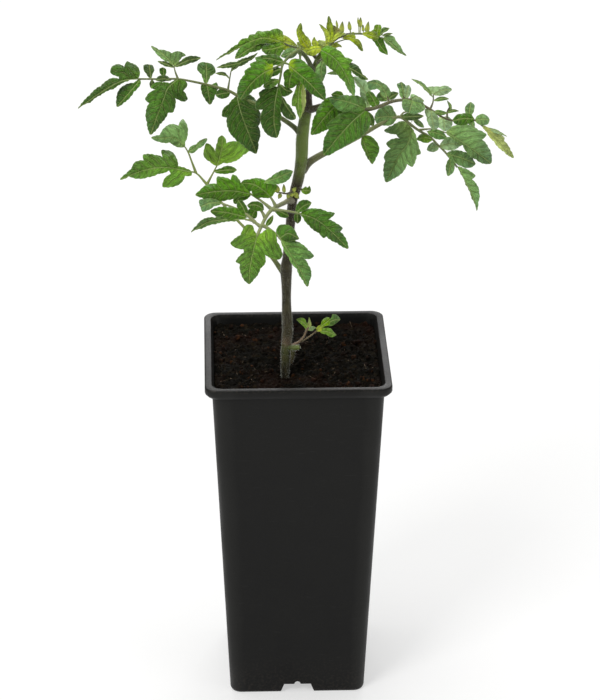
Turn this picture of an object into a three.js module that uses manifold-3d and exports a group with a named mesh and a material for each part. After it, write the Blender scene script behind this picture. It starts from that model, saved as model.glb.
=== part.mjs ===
// A young tomato plant in a deep square plastic pot.
// Millimetres, +Z up. The origin is on the ground under the middle of the pot and the
// side that faces the viewer is at -Y.
//
// The pot is drawn from its dimensions. The plant follows picks made by hand on the
// photograph: a pick is a column, a row and, where it matters, a depth, which is how far
// the point lies behind the middle of the pot. seen() turns a pick into a place.

import * as THREE from 'three';
import { mergeVertices } from 'three/addons/utils/BufferGeometryUtils.js';
import Module from 'manifold-3d';

const wasm = await Module();
wasm.setup();

// The view the picks were made in
const VIEW_AZIMUTH = -1.976;
const VIEW_ELEVATION = 25.696;
const VIEW_ROLL = 0.18;
const VIEW_DISTANCE = 1757.3;
const VIEW_FOCAL = 2931;
const VIEW_AIM = new THREE.Vector3(2.34, 0, 214.86);
const PICTURE_MIDDLE = [300, 350];

// The pot
const POT_HEIGHT = 215;
const RIM_HALF = 55;
const RIM_SKIRT = 6;
const RIM_CORNER = 7.2;
const LIP_WIDTH = 4.2;
const WALL_TOP_HALF = 50.7;
const WALL_FOOT_HALF = 41.25;
const WALL_CORNER = 7;
const WALL_THICK = 1.2;
const FLOOR_UNDER = 9;
const FLOOR_TOP = 10.4;
const NOTCH_FOOT_HALF = 10.8;
const NOTCH_TOP_HALF = 8.2;
const NOTCH_HEIGHT = 6;
const NOTCH_BUMP = 1.9;
const DRAIN_RADIUS = 4;
const DRAIN_SPREAD = 21;

// The soil
const GAP = 0.3;
const SOIL_LEVEL = 210;
const SOIL_LUMP = 1.1;
const SOIL_DIP = 5;
const SOIL_DIP_REACH = 13;
const PLANT_HOLE_DEPTH = 32;

// The plant
const BLADE_THICK = 0.72;
const BLADE_FOLD = 0.2;
const BLADE_LEAN = 0.42;
const BLADE_ARCH = 0.07;
const TWIG_LEAN = 0.3;
const RISE_BACK = 0.45;
const DROOP_FORWARD = 0.12;
const STEM_SIDES = 8;
const LIMB_SIDES = 5;
const ROOT_HALF = 0.95;
const LIFT_SHARE = 0.3;

// The main stem: column, row, depth, radius, from the soil to the shoot tip
const STEM = [
  [285.2, 366, -15.8, 2.45],
  [285.8, 350, -15.2, 2.75],
  [287.6, 330, -14.2, 3.05],
  [286.6, 308, -12.6, 2.75],
  [286.4, 285, -10.6, 2.85],
  [286.2, 269, -9, 3.45],
  [287.2, 257, -8, 2.75],
  [290.6, 222, -5.5, 2.8],
  [292.6, 201, -4, 2.75],
  [295.3, 190, -3.3, 3.1],
  [298.0, 180, -2.6, 3.2],
  [301.4, 160, -1.5, 3.5],
  [302.3, 138, -0.5, 3.6],
  [304.6, 120, 0, 3.3],
  [307.4, 108, 0.5, 2.8],
  [308.4, 92, 1, 2.1],
  [312, 76, 1.2, 1.75],
  [316.3, 64, 1.4, 1.95],
  [320.8, 56, 1.7, 1.9],
  [326.5, 49, 2, 1.1],
];
const STEM_FOOT = [285, 377, -16];
const STEM_FOOT_RADIUS = 2.25;

// The leaves. stalk: column, row, depth. thick: radius at its root and at its end.
// twigs: side stalks. A leaflet has a rib from its root to its tip and either the two
// rims beside it, lobe by lobe, or a plain width. lift brings a leaflet in front of its
// stalk, beyond its root, and back sets its tip behind its root, both in millimetres.
const LEAVES = [
  {
    name: 'leaf_upper_left',
    thick: [1.75, 0.55],
    stalk: [
      [303, 137, -0.5], [295, 128, 1.5], [281, 118, 5], [262, 107, 8], [240, 97, 11],
      [228, 90.5, 13], [206, 84.5, 15], [190, 81, 16], [178, 79, 17], [160, 79, 18.5],
      [138, 79, 20],
    ],
    twigs: [
      [[178, 79], [175, 71], [174, 66]],
      [[228, 90], [229.5, 80], [231, 71]],
    ],
    leaflets: [
      {
        rib: [[138, 79], [122, 81], [100, 93], [78, 109]],
        rims: [
          [[140, 74], [138, 67], [131, 63], [127, 61], [124.5, 67], [118, 64], [111.5, 67],
            [110.5, 73], [119, 76.5], [119, 79], [112, 78], [101, 86], [90, 95]],
          [[128, 81.5], [114, 89.5], [101, 95.5], [91, 103]],
        ],
      },
      {
        rib: [[140, 80], [129, 93], [117, 107]],
        rims: [[[134, 83], [125, 85], [119, 90], [116.5, 99]], [[141, 83], [134, 91.5], [124, 102.5]]],
      },
      {
        rib: [[151, 79], [150, 72], [149, 64.5]],
        rims: [[[146.5, 74], [143.5, 69], [143.5, 65]], [[152.5, 74], [154.5, 70], [152.5, 65]]],
      },
      { rib: [[164, 77], [163, 67.3]], rims: [[[159.5, 72], [159.5, 68.5]], [[166.5, 72.5], [166, 69]]] },
      {
        rib: [[171, 80.5], [163, 78.5], [155.5, 80.5]],
        rims: [[[168, 76.3], [162, 75], [157, 77.5]], [[166, 81], [160, 81.5]]],
      },
      { rib: [[152, 80], [151.5, 88.8]], rims: [[[149.3, 83.5]], [[155, 83.5]]] },
      {
        rib: [[178, 79], [168, 88], [163, 101], [157, 116], [150.5, 134.8]],
        rims: [
          [[170, 83.5], [162.5, 82.3], [155, 82.5], [150.5, 87.5], [156, 89.5], [151, 91.5],
            [145, 99.5], [149.5, 103], [146, 112], [147, 122]],
          [[184, 79.5], [187.5, 85], [183, 90.5], [187.6, 99.5], [185, 101.7], [175, 97.5],
            [175.5, 104], [172.5, 112.7], [168, 112.5], [160, 124]],
        ],
        lift: 1,
      },
      {
        rib: [[174, 66], [166, 57], [151, 46]],
        rims: [
          [[169, 62], [160, 57], [155, 51.5]],
          [[179, 61], [182, 57], [186, 55.3], [182.6, 52.5], [178, 51], [172, 53.5], [167, 51], [159, 50]],
        ],
      },
      {
        rib: [[173, 68], [166, 64], [157.5, 61]],
        rims: [[[168, 62.3], [162, 61.3]], [[169, 67], [163, 65]]],
      },
      {
        rib: [[175, 66.5], [188, 60.5], [201, 58]],
        rims: [[[181, 61], [187, 56.8], [193, 56]], [[183, 65.5], [190, 62.8], [198, 60.2]]],
      },
      {
        rib: [[206, 84], [206.5, 76], [206, 62.5]],
        rims: [
          [[202, 74.5], [197, 69], [198, 64], [202, 62]],
          [[210, 76], [215.8, 72], [214.5, 67], [210, 63.3]],
        ],
      },
      {
        rib: [[229.5, 79], [223, 74], [215, 73.5]],
        rims: [[[224, 72], [219, 72]], [[224, 76], [219, 75.3]]],
      },
      {
        rib: [[207, 84], [208.5, 94], [210, 104.7]],
        rims: [[[201, 85], [201.5, 91], [204.5, 98]], [[212, 84.5], [216.5, 82.3], [218, 85], [215, 95]]],
        lift: 1,
      },
      {
        rib: [[230, 92.5], [222, 93.5], [215.5, 95]],
        rims: [[[227, 89.5], [221, 88.3], [217, 91]], [[228, 97], [221, 98.7], [217, 97]]],
      },
      {
        rib: [[237, 97], [241, 113], [248, 132], [256.5, 153.7]],
        rims: [
          [[229, 104.3], [223.5, 108.5], [222, 116.5], [227, 117.5], [228, 128], [234.5, 138],
            [243, 144.5], [251, 151.5]],
          [[248, 94], [255, 99], [259, 110], [260.7, 121], [258, 126], [260.3, 133], [258, 142],
            [257.7, 150]],
        ],
        lift: 2,
      },
      { rib: [[231, 72], [234, 66.5], [242, 61.5], [252, 58], [258, 52.5]], wide: 4.4 },
      { rib: [[241, 63], [230, 65], [216.5, 67.6]], wide: 5 },
    ],
  },
  {
    name: 'leaf_lower_right',
    thick: [2.5, 0.6],
    stalk: [
      [302, 170, -1], [308, 163.3, 0], [320, 155.5, 4], [340, 146, 8], [358, 136.8, 12],
      [370, 129.8, 15], [380, 124.3, 17], [390, 119.5, 19], [400, 117, 21], [410, 124, 22],
      [418, 130, 23], [430, 137, 24], [438, 145, 24.5], [445, 152, 25], [457, 167, 26],
    ],
    twigs: [
      [[418, 130], [433, 129], [447, 133]],
      [[400, 117], [404, 112.3], [412, 112.3]],
    ],
    leaflets: [
      {
        rib: [[362, 137], [366, 149], [372, 164.3]],
        rims: [
          [[361, 141], [365, 152], [369, 160]],
          [[368, 135.3], [375, 140], [379.3, 149], [376, 157.5]],
        ],
      },
      {
        rib: [[397, 117], [386, 116.5], [374.5, 118]],
        rims: [
          [[394, 111], [391, 105.5], [384, 106], [377, 111.5]],
          [[392, 124.5], [382, 125], [376, 122.5]],
        ],
      },
      {
        rib: [[401, 117], [412, 116.5], [424, 116]],
        rims: [[[404, 114], [413, 113.2], [420, 114.3]], [[405, 119.3], [413, 120.2], [420, 118.5]]],
      },
      {
        rib: [[413, 120], [419, 123], [424, 127.7]],
        rims: [[[418, 119.5], [422, 122.5]], [[416, 124.3], [420, 127]]],
      },
      {
        rib: [[411, 127], [409, 141], [399, 156], [386, 182.3]],
        rims: [
          [[403, 121], [393, 125.3], [384, 131], [396, 134], [400, 138.5], [390, 140], [386, 144],
            [391, 148.5], [385.5, 153], [383.7, 157.5], [385.3, 161], [383.7, 172]],
          [[417, 141], [419, 148], [420.7, 154], [416.5, 155.3], [412, 167], [407, 163.5],
            [404, 170.5], [393, 178.7]],
        ],
        lift: 2,
      },
      {
        rib: [[433, 139.5], [425, 137.5], [416.5, 139.7]],
        rims: [[[428, 135], [421, 133.7]], [[427, 143], [421, 141.3]]],
        lift: 1,
      },
      {
        rib: [[439, 146], [433, 147.5], [426.7, 149.8]],
        rims: [[[433, 142], [428.7, 145]], [[438, 150], [432, 152]]],
        lift: 1,
      },
      {
        rib: [[440, 146], [450, 144], [463, 144.5]],
        rims: [[[444, 139.5], [449, 136.7], [456, 141]], [[446, 149.8], [453, 150], [459, 146.8]]],
        lift: 1,
      },
      {
        rib: [[446, 154], [460, 157.5], [475.7, 164]],
        rims: [[[454, 150.2], [463, 151.7], [470, 154.7], [473.5, 160]],
          [[456, 163.5], [461, 166], [467, 168], [473.3, 166.3]]],
      },
      {
        rib: [[450, 158], [450, 167], [448, 176.3]],
        rims: [[[446.8, 163], [446.2, 171]], [[454, 163], [454.7, 168], [452, 173.7]]],
        lift: 1,
      },
      {
        rib: [[457, 166], [466, 183], [473, 197], [476.5, 211]],
        rims: [
          [[460, 174], [465, 184.5], [471, 198.5]],
          [[463, 168], [470, 171.3], [475.7, 176], [471.7, 179.5], [477, 185], [479.2, 192.5],
            [478.2, 202]],
        ],
      },
      {
        rib: [[446, 132], [462, 142], [476, 152], [491, 163.5]],
        rims: [
          [[450, 128], [460, 124.7], [469, 125], [478, 130], [486.7, 135], [481.7, 139.5],
            [488, 147], [491.7, 157]],
          [[463, 145], [466, 151.5], [476, 159.3], [484, 163.7]],
        ],
        back: 3,
      },
      {
        rib: [[427, 131.5], [437, 133], [447, 138]],
        rims: [[[434, 129.5], [442, 131.5]], [[433, 137.5], [441, 139.5]]],
        lift: 1.5,
      },
    ],
  },
  {
    name: 'leaf_upper_right',
    thick: [2.1, 0.55],
    stalk: [
      [307.5, 109, 0.5], [313, 109, -2.5], [320, 106.5, -5], [335, 105, -9], [352, 108, -12],
      [366, 109.5, -14], [378, 107, -16], [392, 101.5, -17.5], [402, 100, -18.5], [412, 100, -19.5],
      [428, 108, -21], [436, 113, -22], [445, 118.5, -23], [458, 121, -24], [474, 120, -25.5],
      [484, 127, -27],
    ],
    twigs: [
      [[430, 109.5], [433, 102], [433.5, 95]],
      [[389, 102.5], [387.5, 97], [385.5, 93]],
      [[404, 100], [403.5, 96]],
      [[447, 119], [447.5, 111], [449, 108]],
    ],
    leaflets: [
      {
        rib: [[338, 103], [325, 117], [311, 134.7]],
        rims: [[[329, 97], [321, 104], [316, 114], [312.3, 126]], [[344, 109], [336, 122], [322, 131.7]]],
        lift: 1,
      },
      {
        rib: [[345, 99], [338, 94.8], [331, 94.7]],
        rims: [[[341, 91.5], [335, 91.5]], [[340, 98.5], [334, 97.5]]],
        lift: 1,
      },
      {
        rib: [[366, 109], [350, 102.5], [329, 97.7]],
        rims: [
          [[365, 102.5], [361, 97], [350, 95.8], [338, 96.3]],
          [[352, 111.5], [342, 111.5], [333, 105]],
        ],
        lift: 3,
      },
      {
        rib: [[366, 110], [353, 121], [340, 135], [323.7, 154.7]],
        rims: [
          [[357, 110], [346, 112], [335, 118], [326, 126.3], [329, 130], [326, 135], [323.5, 146]],
          [[369, 115], [370.5, 124], [366, 132], [356, 139.5], [348, 143.5], [336, 150.5],
            [328, 155.5]],
        ],
        lift: 6,
        back: -6,
      },
      {
        rib: [[367, 111], [370, 118], [373, 126.3]],
        rims: [[[366, 118], [369, 124.5]], [[371.5, 114], [374.7, 120.5]]],
        lift: 2,
      },
      {
        rib: [[377, 107.5], [373, 99], [368, 91.3]],
        rims: [[[372.5, 107], [367.3, 99], [366, 93.5]], [[380, 103], [375.7, 96.5], [371.3, 91.7]]],
      },
      {
        rib: [[387, 100.5], [382, 96.5], [379.5, 92]],
        rims: [[[380, 101.3], [376.5, 96]], [[385, 95.5], [383, 92]]],
      },
      {
        rib: [[387, 99], [385, 92], [378, 84], [367.5, 82.3]],
        rims: [
          [[391, 94], [388.3, 87.3], [382, 82.7], [376, 79.8]],
          [[383.5, 97], [380, 90.5], [377, 88.5], [369.5, 89.7]],
        ],
      },
      {
        rib: [[388, 99.5], [392, 96], [398.7, 93]],
        rims: [[[389.5, 92.5], [395, 91.7]], [[391, 100], [396, 97]]],
      },
      {
        rib: [[404, 99.5], [403, 91], [401, 81.7]],
        rims: [
          [[400.5, 97], [399.3, 90], [397, 83.7], [399.3, 83]],
          [[408, 96], [406.7, 89], [403.7, 83.5]],
        ],
      },
      {
        rib: [[406, 99], [407, 92], [409, 85]],
        rims: [[[404.3, 92], [405, 86]], [[410.3, 94], [410.7, 87.5]]],
      },
      {
        rib: [[413, 100], [411, 106], [409, 112.8]],
        rims: [[[403, 99.5], [401.7, 104], [404, 110.3]], [[423.5, 103], [425, 109], [419, 112.8]]],
        lift: 2,
        back: -9,
      },
      {
        rib: [[410, 100], [416, 97], [424.3, 101.3]],
        rims: [[[411.5, 94], [418, 96.5]], [[415, 102], [420, 102.5]]],
      },
      { rib: [[433.3, 98], [426, 89], [418, 82], [410.7, 78.8]], wide: 4 },
      {
        rib: [[433, 95], [441, 90.7], [452, 89.4]],
        rims: [[[427, 87.5], [434, 86.7], [440, 87], [444.5, 85.5]], [[438, 95.7], [445, 94.5]]],
      },
      { rib: [[434, 100.7], [442, 98.3], [449.3, 99]], wide: 4.4 },
      { rib: [[448, 113], [451, 107], [446.7, 100]], wide: 3.6 },
      { rib: [[447, 113], [452, 110.5], [459.3, 111]], wide: 3.6 },
      { rib: [[434, 111], [441, 113], [448, 113]], wide: 5 },
      {
        rib: [[431, 109], [432, 118], [434, 130]],
        rims: [[[425, 109], [426.7, 117], [429.7, 126]], [[436, 114], [439, 120], [438, 128]]],
        lift: 1,
      },
      {
        rib: [[443, 116], [444, 122], [444.5, 131]],
        rims: [[[439.5, 117], [437.3, 125]], [[449, 117], [452.5, 121.5], [450, 129]]],
      },
      {
        rib: [[469, 118], [469.5, 110], [471, 102]],
        rims: [[[465.3, 112.5], [465.7, 106]], [[474, 110], [474.7, 105.3]]],
      },
      {
        rib: [[475, 119], [464, 118.5], [452.7, 120.7]],
        rims: [[[471, 114.3], [462, 113.7], [456, 115.3]], [[468, 124], [460, 125.3], [455, 124]]],
        lift: 1,
      },
      {
        rib: [[475, 120], [482, 119], [489.7, 120]],
        rims: [[[478, 115.3], [484, 114], [488.3, 117]], [[477, 123.3], [483, 125.3], [488.3, 123.7]]],
        lift: 0.5,
      },
      { rib: [[469, 119.5], [472, 123.5], [474.3, 128.5]], wide: 6, lift: 1 },
      {
        rib: [[482, 125], [494, 137.5], [503, 146.5], [513.7, 158]],
        rims: [
          [[490, 129], [499, 134], [504.7, 138], [504, 141], [510.3, 150]],
          [[487, 132], [494, 141.3], [504, 151.5]],
        ],
      },
      { rib: [[485, 127.5], [496, 131], [507.5, 136.7]], wide: 2.8 },
      {
        rib: [[369, 108], [365, 92], [353, 77]],
        rims: [
          [[361.5, 98], [360.3, 88], [355, 81.5]],
          [[369.5, 98], [370, 88], [366, 81], [359.5, 77.5]],
        ],
        lift: -2,
      },
    ],
  },
  {
    name: 'leaf_lower_left',
    thick: [1.9, 0.7],
    stalk: [
      [287, 277, -9], [280, 268, -6], [272, 257, 1], [262, 245, 9], [250, 233, 16], [238, 221, 22],
      [222, 203, 28], [207, 184.5, 33],
    ],
    twigs: [
      [[207, 184.5], [196, 173], [189, 171.3]],
      [[196, 173], [191.5, 161], [188, 152], [185, 147]],
      [[207, 184.5], [212, 175], [217, 165.5]],
    ],
    leaflets: [
      {
        rib: [[192, 172], [165, 167.5], [145, 170], [120, 179.7]],
        rims: [
          [[178, 166.5], [176.3, 158], [172, 151.8], [161.3, 150.3], [163, 157.5], [155, 155],
            [142.7, 155], [144, 160.5], [134.7, 162.3], [131.5, 169], [126.3, 173.5]],
          [[191.5, 175.7], [185, 175.5], [181, 183], [171, 187], [162.3, 186.7], [165, 178],
            [171, 174], [169, 170.3], [158, 173.7], [148, 177], [139, 178.7], [129, 176]],
        ],
        back: 4,
      },
      {
        rib: [[185, 147], [175, 138], [164, 138], [151, 137.7]],
        rims: [
          [[185, 142], [187.7, 133], [186, 123], [183, 118.7], [180, 121.5], [178.5, 126],
            [172, 124], [165, 127.3], [160, 135.3]],
          [[180, 147.5], [170, 142.3], [160, 142], [155, 140.7]],
        ],
        back: 4,
      },
      {
        rib: [[188, 152], [196, 147], [201, 142], [207.3, 138.5]],
        rims: [[[190, 147], [196, 144.7], [201, 140]], [[192, 153.5], [198, 148.5], [204.5, 144.3]]],
      },
      {
        rib: [[217, 166], [220, 156], [222, 146], [222, 135.2]],
        rims: [
          [[210, 161.7], [203.7, 156], [204.3, 149], [206.5, 143], [211.7, 146], [215.7, 153.5],
            [217.3, 143], [219, 137]],
          [[223, 162.7], [233, 161.7], [243, 155], [249.3, 150.3], [240, 142.7], [232, 141.3],
            [226.3, 143.5], [225, 138]],
        ],
        back: 9,
      },
      {
        rib: [[214, 171.7], [226, 170], [237, 170]],
        rims: [[[221, 168.3], [229, 165.8], [234, 167.3]], [[222, 173.7], [229, 173.3], [235, 171.7]]],
      },
    ],
  },
  {
    name: 'leaf_middle_front',
    thick: [1.75, 0.95],
    stalk: [
      [292.5, 201, -4], [290, 200, -9], [284, 203, -14], [278, 206, -19], [272, 209.5, -24],
      [266, 217, -30], [261, 227, -36], [257, 236, -40],
    ],
    twigs: [
      [[272, 209.5], [260, 200], [250, 193.5]],
      [[276, 207], [273, 201], [270, 196.5]],
      [[261, 227], [253, 221.3], [245, 219.3]],
      [[255, 222.5], [246, 214], [238, 209.3], [222, 203.3]],
      [[262, 225], [270, 229.5], [276, 234], [281, 240]],
      [[272, 209.5], [286, 211], [295, 212.5], [301, 214]],
      [[265, 218], [262, 212], [259, 208.5]],
    ],
    leaflets: [
      {
        rib: [[257, 236], [253, 252], [250, 268], [249, 284.3]],
        rims: [
          [[254.3, 231], [252, 225], [246, 225], [241, 235], [230.3, 243.5], [237, 248.3],
            [243.5, 249], [244, 252.5], [235.7, 262], [240, 264], [241.3, 274], [245.7, 281.7]],
          [[262, 233], [268, 228.7], [275.3, 233], [276.7, 242], [282.5, 255.5], [280, 259.3],
            [272, 258.3], [264.5, 254], [265.3, 263], [260.3, 268.3], [254, 279]],
        ],
        lift: 1,
      },
      {
        rib: [[251, 194.3], [235, 191], [215, 191.5], [195.3, 195]],
        rims: [
          [[246, 189], [241, 183.5], [235, 175], [232.5, 174.3], [231, 180], [217, 176.7],
            [217, 184], [208, 184.5], [200, 190.3]],
          [[238, 196.7], [228, 199.7], [214, 200.3], [202, 197.7]],
        ],
        back: -4,
      },
      {
        rib: [[271, 197.3], [263, 190], [254, 184.5], [241, 182.7]],
        rims: [
          [[275, 191], [277, 185], [266, 181], [259, 178.3], [250, 179.5], [243, 180.5]],
          [[262, 197.3], [254, 197.3], [251.7, 190.5], [248.5, 192.5], [242.5, 188]],
        ],
        back: 4,
        lift: 1,
      },
      {
        rib: [[264, 182.5], [277, 177.7], [293, 171]],
        rims: [
          [[271, 177.3], [278, 172.3], [288, 169.5]],
          [[270, 183.5], [280, 183.5], [287, 180.7], [291.7, 174.5]],
        ],
      },
      {
        rib: [[246, 219.5], [225, 219.7], [208, 222.3], [191, 232.7]],
        rims: [
          [[235, 217], [215, 217.7], [203, 219.3], [196.7, 225.5]],
          [[235, 222], [216, 224.5], [202, 229.3]],
        ],
        back: -3,
      },
      {
        rib: [[247, 217.5], [228, 212.7], [210.3, 211]],
        rims: [[[240, 210.3], [228, 207.3], [217, 207.7]], [[238, 219.5], [226, 219], [214.5, 215.3]]],
        lift: 1.5,
      },
      {
        rib: [[222, 203.3], [210, 203], [200.5, 207]],
        rims: [[[214, 199], [205, 199], [199, 200.3]], [[214, 206], [207.5, 210.3], [202, 211.7]]],
      },
      {
        rib: [[264, 209.5], [256, 205], [247, 205.3]],
        rims: [[[262, 203.3], [256, 201.3], [250, 202.7]], [[260, 211], [253, 210], [249, 208]]],
        lift: 1,
      },
      {
        rib: [[256, 210], [253, 214], [251, 219.7]],
        rims: [[[249, 209], [246, 215]], [[257.3, 211.5], [256, 218]]],
        lift: 1,
      },
      {
        rib: [[246, 215], [243, 207.5], [238, 200]],
        rims: [[[240, 212], [236.7, 205]], [[248, 211.5], [245.3, 204.5], [241, 200]]],
        lift: 1,
      },
      {
        rib: [[251, 194.7], [241, 196.7], [233.7, 203.3]],
        rims: [[[242, 193.5], [236, 196.3], [233, 200]], [[246, 199.7], [240, 200.7], [236, 204.3]]],
        lift: -1,
      },
      {
        rib: [[281, 240], [292, 257], [300, 270], [307.5, 286.8]],
        rims: [
          [[283, 247], [289, 257], [292, 264], [297, 268.7], [303, 280.3]],
          [[291, 240.3], [301, 243.7], [308, 250], [314, 256.3], [311, 258.7], [304, 258.5],
            [308.3, 265], [311.3, 273], [309.3, 281]],
        ],
        lift: 1,
      },
      {
        rib: [[279, 239], [288, 233.5], [299.3, 238.8]],
        rims: [
          [[276, 231.5], [279, 225.3], [286, 224.7], [293, 228], [296.7, 234.5]],
          [[284, 241.3], [292, 240.5]],
        ],
      },
      {
        rib: [[300, 213.7], [315, 219], [328, 228.5], [348.3, 248.7]],
        rims: [
          [[305, 210.3], [317, 208.7], [327, 212], [335, 213.3], [328, 219.5], [336, 223.3],
            [342.8, 228.5], [340, 231.7], [346.3, 240]],
          [[303.3, 218], [309, 225.3], [319, 232.7], [324, 238.3], [326.5, 236.3], [337, 242.7]],
        ],
        back: 5,
      },
      {
        rib: [[296, 213], [303, 206.3], [311.7, 202.7]],
        rims: [[[296, 207], [300, 201], [308, 200.2]], [[303, 211], [309.3, 206.7]]],
      },
      {
        rib: [[296.5, 212], [297.5, 218], [297.5, 223.8]],
        rims: [[[294.2, 215], [294.7, 221]], [[301.3, 216.5], [300.7, 221]]],
      },
      {
        rib: [[274, 209.7], [282, 212.5], [289, 216]],
        rims: [[[281, 209.3], [286, 211.5]], [[277, 214.3], [282, 217.5], [287, 218]]],
      },
      { rib: [[266, 226], [270, 221], [273.3, 215]], wide: 5.4 },
    ],
  },
  {
    name: 'leaf_apex_front',
    thick: [1.6, 0.6],
    stalk: [
      [313, 74, 1.2], [308, 60, -4], [299, 51, -9], [290, 56, -14], [283, 64, -18], [280.5, 76, -20],
      [278, 88, -21],
    ],
    twigs: [
      [[283, 64], [278, 66], [272, 69]],
      [[284, 63], [288, 64], [292, 67]],
      [[300, 51.5], [300, 68], [299, 86]],
    ],
    leaflets: [
      {
        rib: [[278, 87], [275, 103], [274, 122], [277, 137.7]],
        rims: [
          [[269, 87.3], [258.7, 93.3], [260, 97.5], [255.3, 103], [256, 109.3], [263, 109.3],
            [260.8, 119], [263.3, 129], [269, 135.7]],
          [[281.3, 96], [279.5, 108], [280.5, 121], [279.5, 131.3]],
        ],
      },
      {
        rib: [[279, 89], [285, 104], [295.7, 119]],
        rims: [
          [[282, 96.5], [286.5, 103], [292.5, 111], [296, 117]],
          [[279.7, 105], [282, 113], [287.3, 118.7], [293.3, 120]],
        ],
        lift: -1,
      },
      {
        rib: [[280, 80], [272, 82], [263.5, 87.5]],
        rims: [[[273, 78.7], [266, 80]], [[275, 86], [268, 88.7]]],
      },
      {
        rib: [[279.5, 84], [286, 90], [293, 91.7]],
        rims: [[[284, 86.5], [289.5, 88.5]], [[280.3, 91], [283, 96.7], [289.5, 94.5]]],
      },
      {
        rib: [[273, 68.5], [262, 74], [250, 85], [240, 99.3]],
        rims: [
          [[271, 60], [262, 56.7], [255, 57.7], [256.5, 61.3], [249.7, 64.3], [251, 67], [244.3, 71.5],
            [245, 74.5], [238.7, 85], [237.3, 94]],
          [[271, 78], [263, 84.5], [253, 89.3], [247, 96]],
        ],
      },
      {
        rib: [[288, 64], [299, 75], [312, 88], [325.3, 100.3]],
        rims: [
          [[293, 57.5], [303, 56.5], [310, 66.5], [318, 75.3], [323.3, 83], [325.7, 93]],
          [[284, 71], [283.5, 84], [289, 88.8], [298, 86.3], [303.5, 85], [307, 91], [316, 95.8]],
        ],
        lift: 1,
      },
      {
        rib: [[299, 84], [299.5, 100], [300, 118.3]],
        rims: [
          [[294, 91], [291.8, 101], [292.8, 106.3], [296, 106.7], [297, 112.7]],
          [[303.7, 90], [303.7, 101], [302, 111]],
        ],
        lift: -1,
      },
      {
        rib: [[284, 62.5], [270, 58.5], [256, 58]],
        rims: [[[278, 55.5], [266, 55]], [[276, 65], [264, 64]]],
        lift: -2.5,
      },
      { rib: [[298, 51], [289, 53.5], [280.5, 56.5]], wide: 10.5, lift: -2 },
      { rib: [[281, 69], [274, 71.5], [268, 77]], wide: 9, lift: -1 },
    ],
  },
  {
    name: 'leaf_apex_left',
    thick: [1.1, 0.55],
    stalk: [
      [318.5, 60, 1.5], [311, 53, 7], [302, 49, 11], [292, 46.5, 14], [282, 43, 17], [270, 40, 20],
    ],
    twigs: [],
    leaflets: [
      {
        rib: [[283, 42], [264, 38], [245, 44], [216, 60.7]],
        rims: [
          [[282, 31], [276, 28.5], [270, 31], [263, 31.7], [257, 31.3], [255, 34.3], [249, 35.3],
            [248, 38.3], [241.3, 39.3], [238, 44.3], [227, 52.5]],
          [[270, 44], [255, 46], [242, 48], [230, 54.5]],
        ],
        back: 6,
      },
      {
        rib: [[270, 41], [253, 47], [235, 58.7]],
        rims: [[[258, 41], [246, 43.7], [237.5, 51.5]], [[262, 48.3], [250, 52], [242, 57]]],
        lift: 1.5,
        back: -3,
      },
      {
        rib: [[285, 45], [274, 48.5], [261.7, 50]],
        rims: [[[274, 42.5], [264, 44.5]], [[279, 56.5], [268, 55]]],
        lift: 1,
        back: -2,
      },
      {
        rib: [[278, 43], [287, 41.7], [298.3, 47]],
        rims: [[[283, 34.7], [287, 36.3], [291, 39.3], [295, 43]], [[283, 50], [291, 50]]],
      },
    ],
  },
  {
    name: 'leaf_apex_right',
    thick: [1.1, 0.5],
    stalk: [[317, 63, 1.4], [322, 60, -4], [324, 55, -8], [326, 52, -11]],
    twigs: [
      [[324, 56], [322.5, 60], [321, 64]],
      [[326, 52], [338, 61], [347, 69]],
    ],
    leaflets: [
      {
        rib: [[321, 50], [334, 58], [346, 75], [354, 96.5]],
        rims: [
          [[327, 45.5], [337, 49.5], [342, 53.3], [345, 57.5], [352.8, 60.3], [348.7, 64], [351.3, 74],
            [354.8, 88]],
          [[322, 58], [328, 66.5], [335.5, 71.5], [345, 81.7], [351, 93.3]],
        ],
        lift: 1,
      },
      {
        rib: [[346, 66], [357, 72], [368.3, 79.7]],
        rims: [[[351, 62.7], [356, 64.5], [362.3, 74.5]], [[351, 70], [358, 76.5], [363, 79.8]]],
        lift: -1,
      },
      { rib: [[343, 73], [335, 72.7], [326.7, 73.7]], wide: 4 },
      {
        rib: [[321, 62], [321, 71], [323, 81.3]],
        rims: [[[316, 69], [318, 75.5], [320.7, 79.5]], [[325.7, 65], [326.3, 71], [325, 77.3]]],
        lift: 0.5,
      },
    ],
  },
  {
    name: 'leaf_apex_back_right',
    thick: [0.9, 0.5],
    stalk: [
      [321.5, 56, 1.8], [327, 50, 6], [331, 44, 8.5], [338, 38, 11], [346, 35.5, 13.5], [357, 33.7, 16],
      [366, 34.5, 18.5], [376, 37, 20.5], [384, 38.5, 21.5],
    ],
    twigs: [[[330.7, 44.5], [336, 42.3], [341, 38.7], [346, 38]]],
    leaflets: [
      {
        rib: [[383, 38], [394, 45], [406.3, 56.3]],
        rims: [[[389, 35.7], [394, 37], [396.3, 41], [400.3, 48]], [[386, 43], [394, 48.7], [400, 52.5]]],
      },
      {
        rib: [[377, 38], [381, 46], [387.7, 55.3]],
        rims: [[[374, 43], [379, 50.7], [384, 54.3]], [[383, 40.5], [386.3, 47]]],
        lift: 0.5,
      },
      {
        rib: [[376, 37], [376, 30], [378, 24.3]],
        rims: [[[370.7, 32], [374, 26.3], [375.7, 24.5]], [[382, 33], [381.3, 28], [381, 24.8]]],
      },
      {
        rib: [[380, 36], [384, 29.7], [389.7, 28]],
        rims: [[[382, 28], [386, 26.8]], [[385, 32.3], [388.3, 30.3]]],
      },
      { rib: [[382, 37], [387, 34.3], [393, 33.3]], wide: 3.2 },
      {
        rib: [[362, 34], [372, 35.7], [384, 38.5]],
        rims: [[[368, 30.7], [376, 31]], [[366, 38], [376, 41.3]]],
      },
      {
        rib: [[344, 37.7], [354, 38.3], [360, 43], [363.3, 51.3]],
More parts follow.
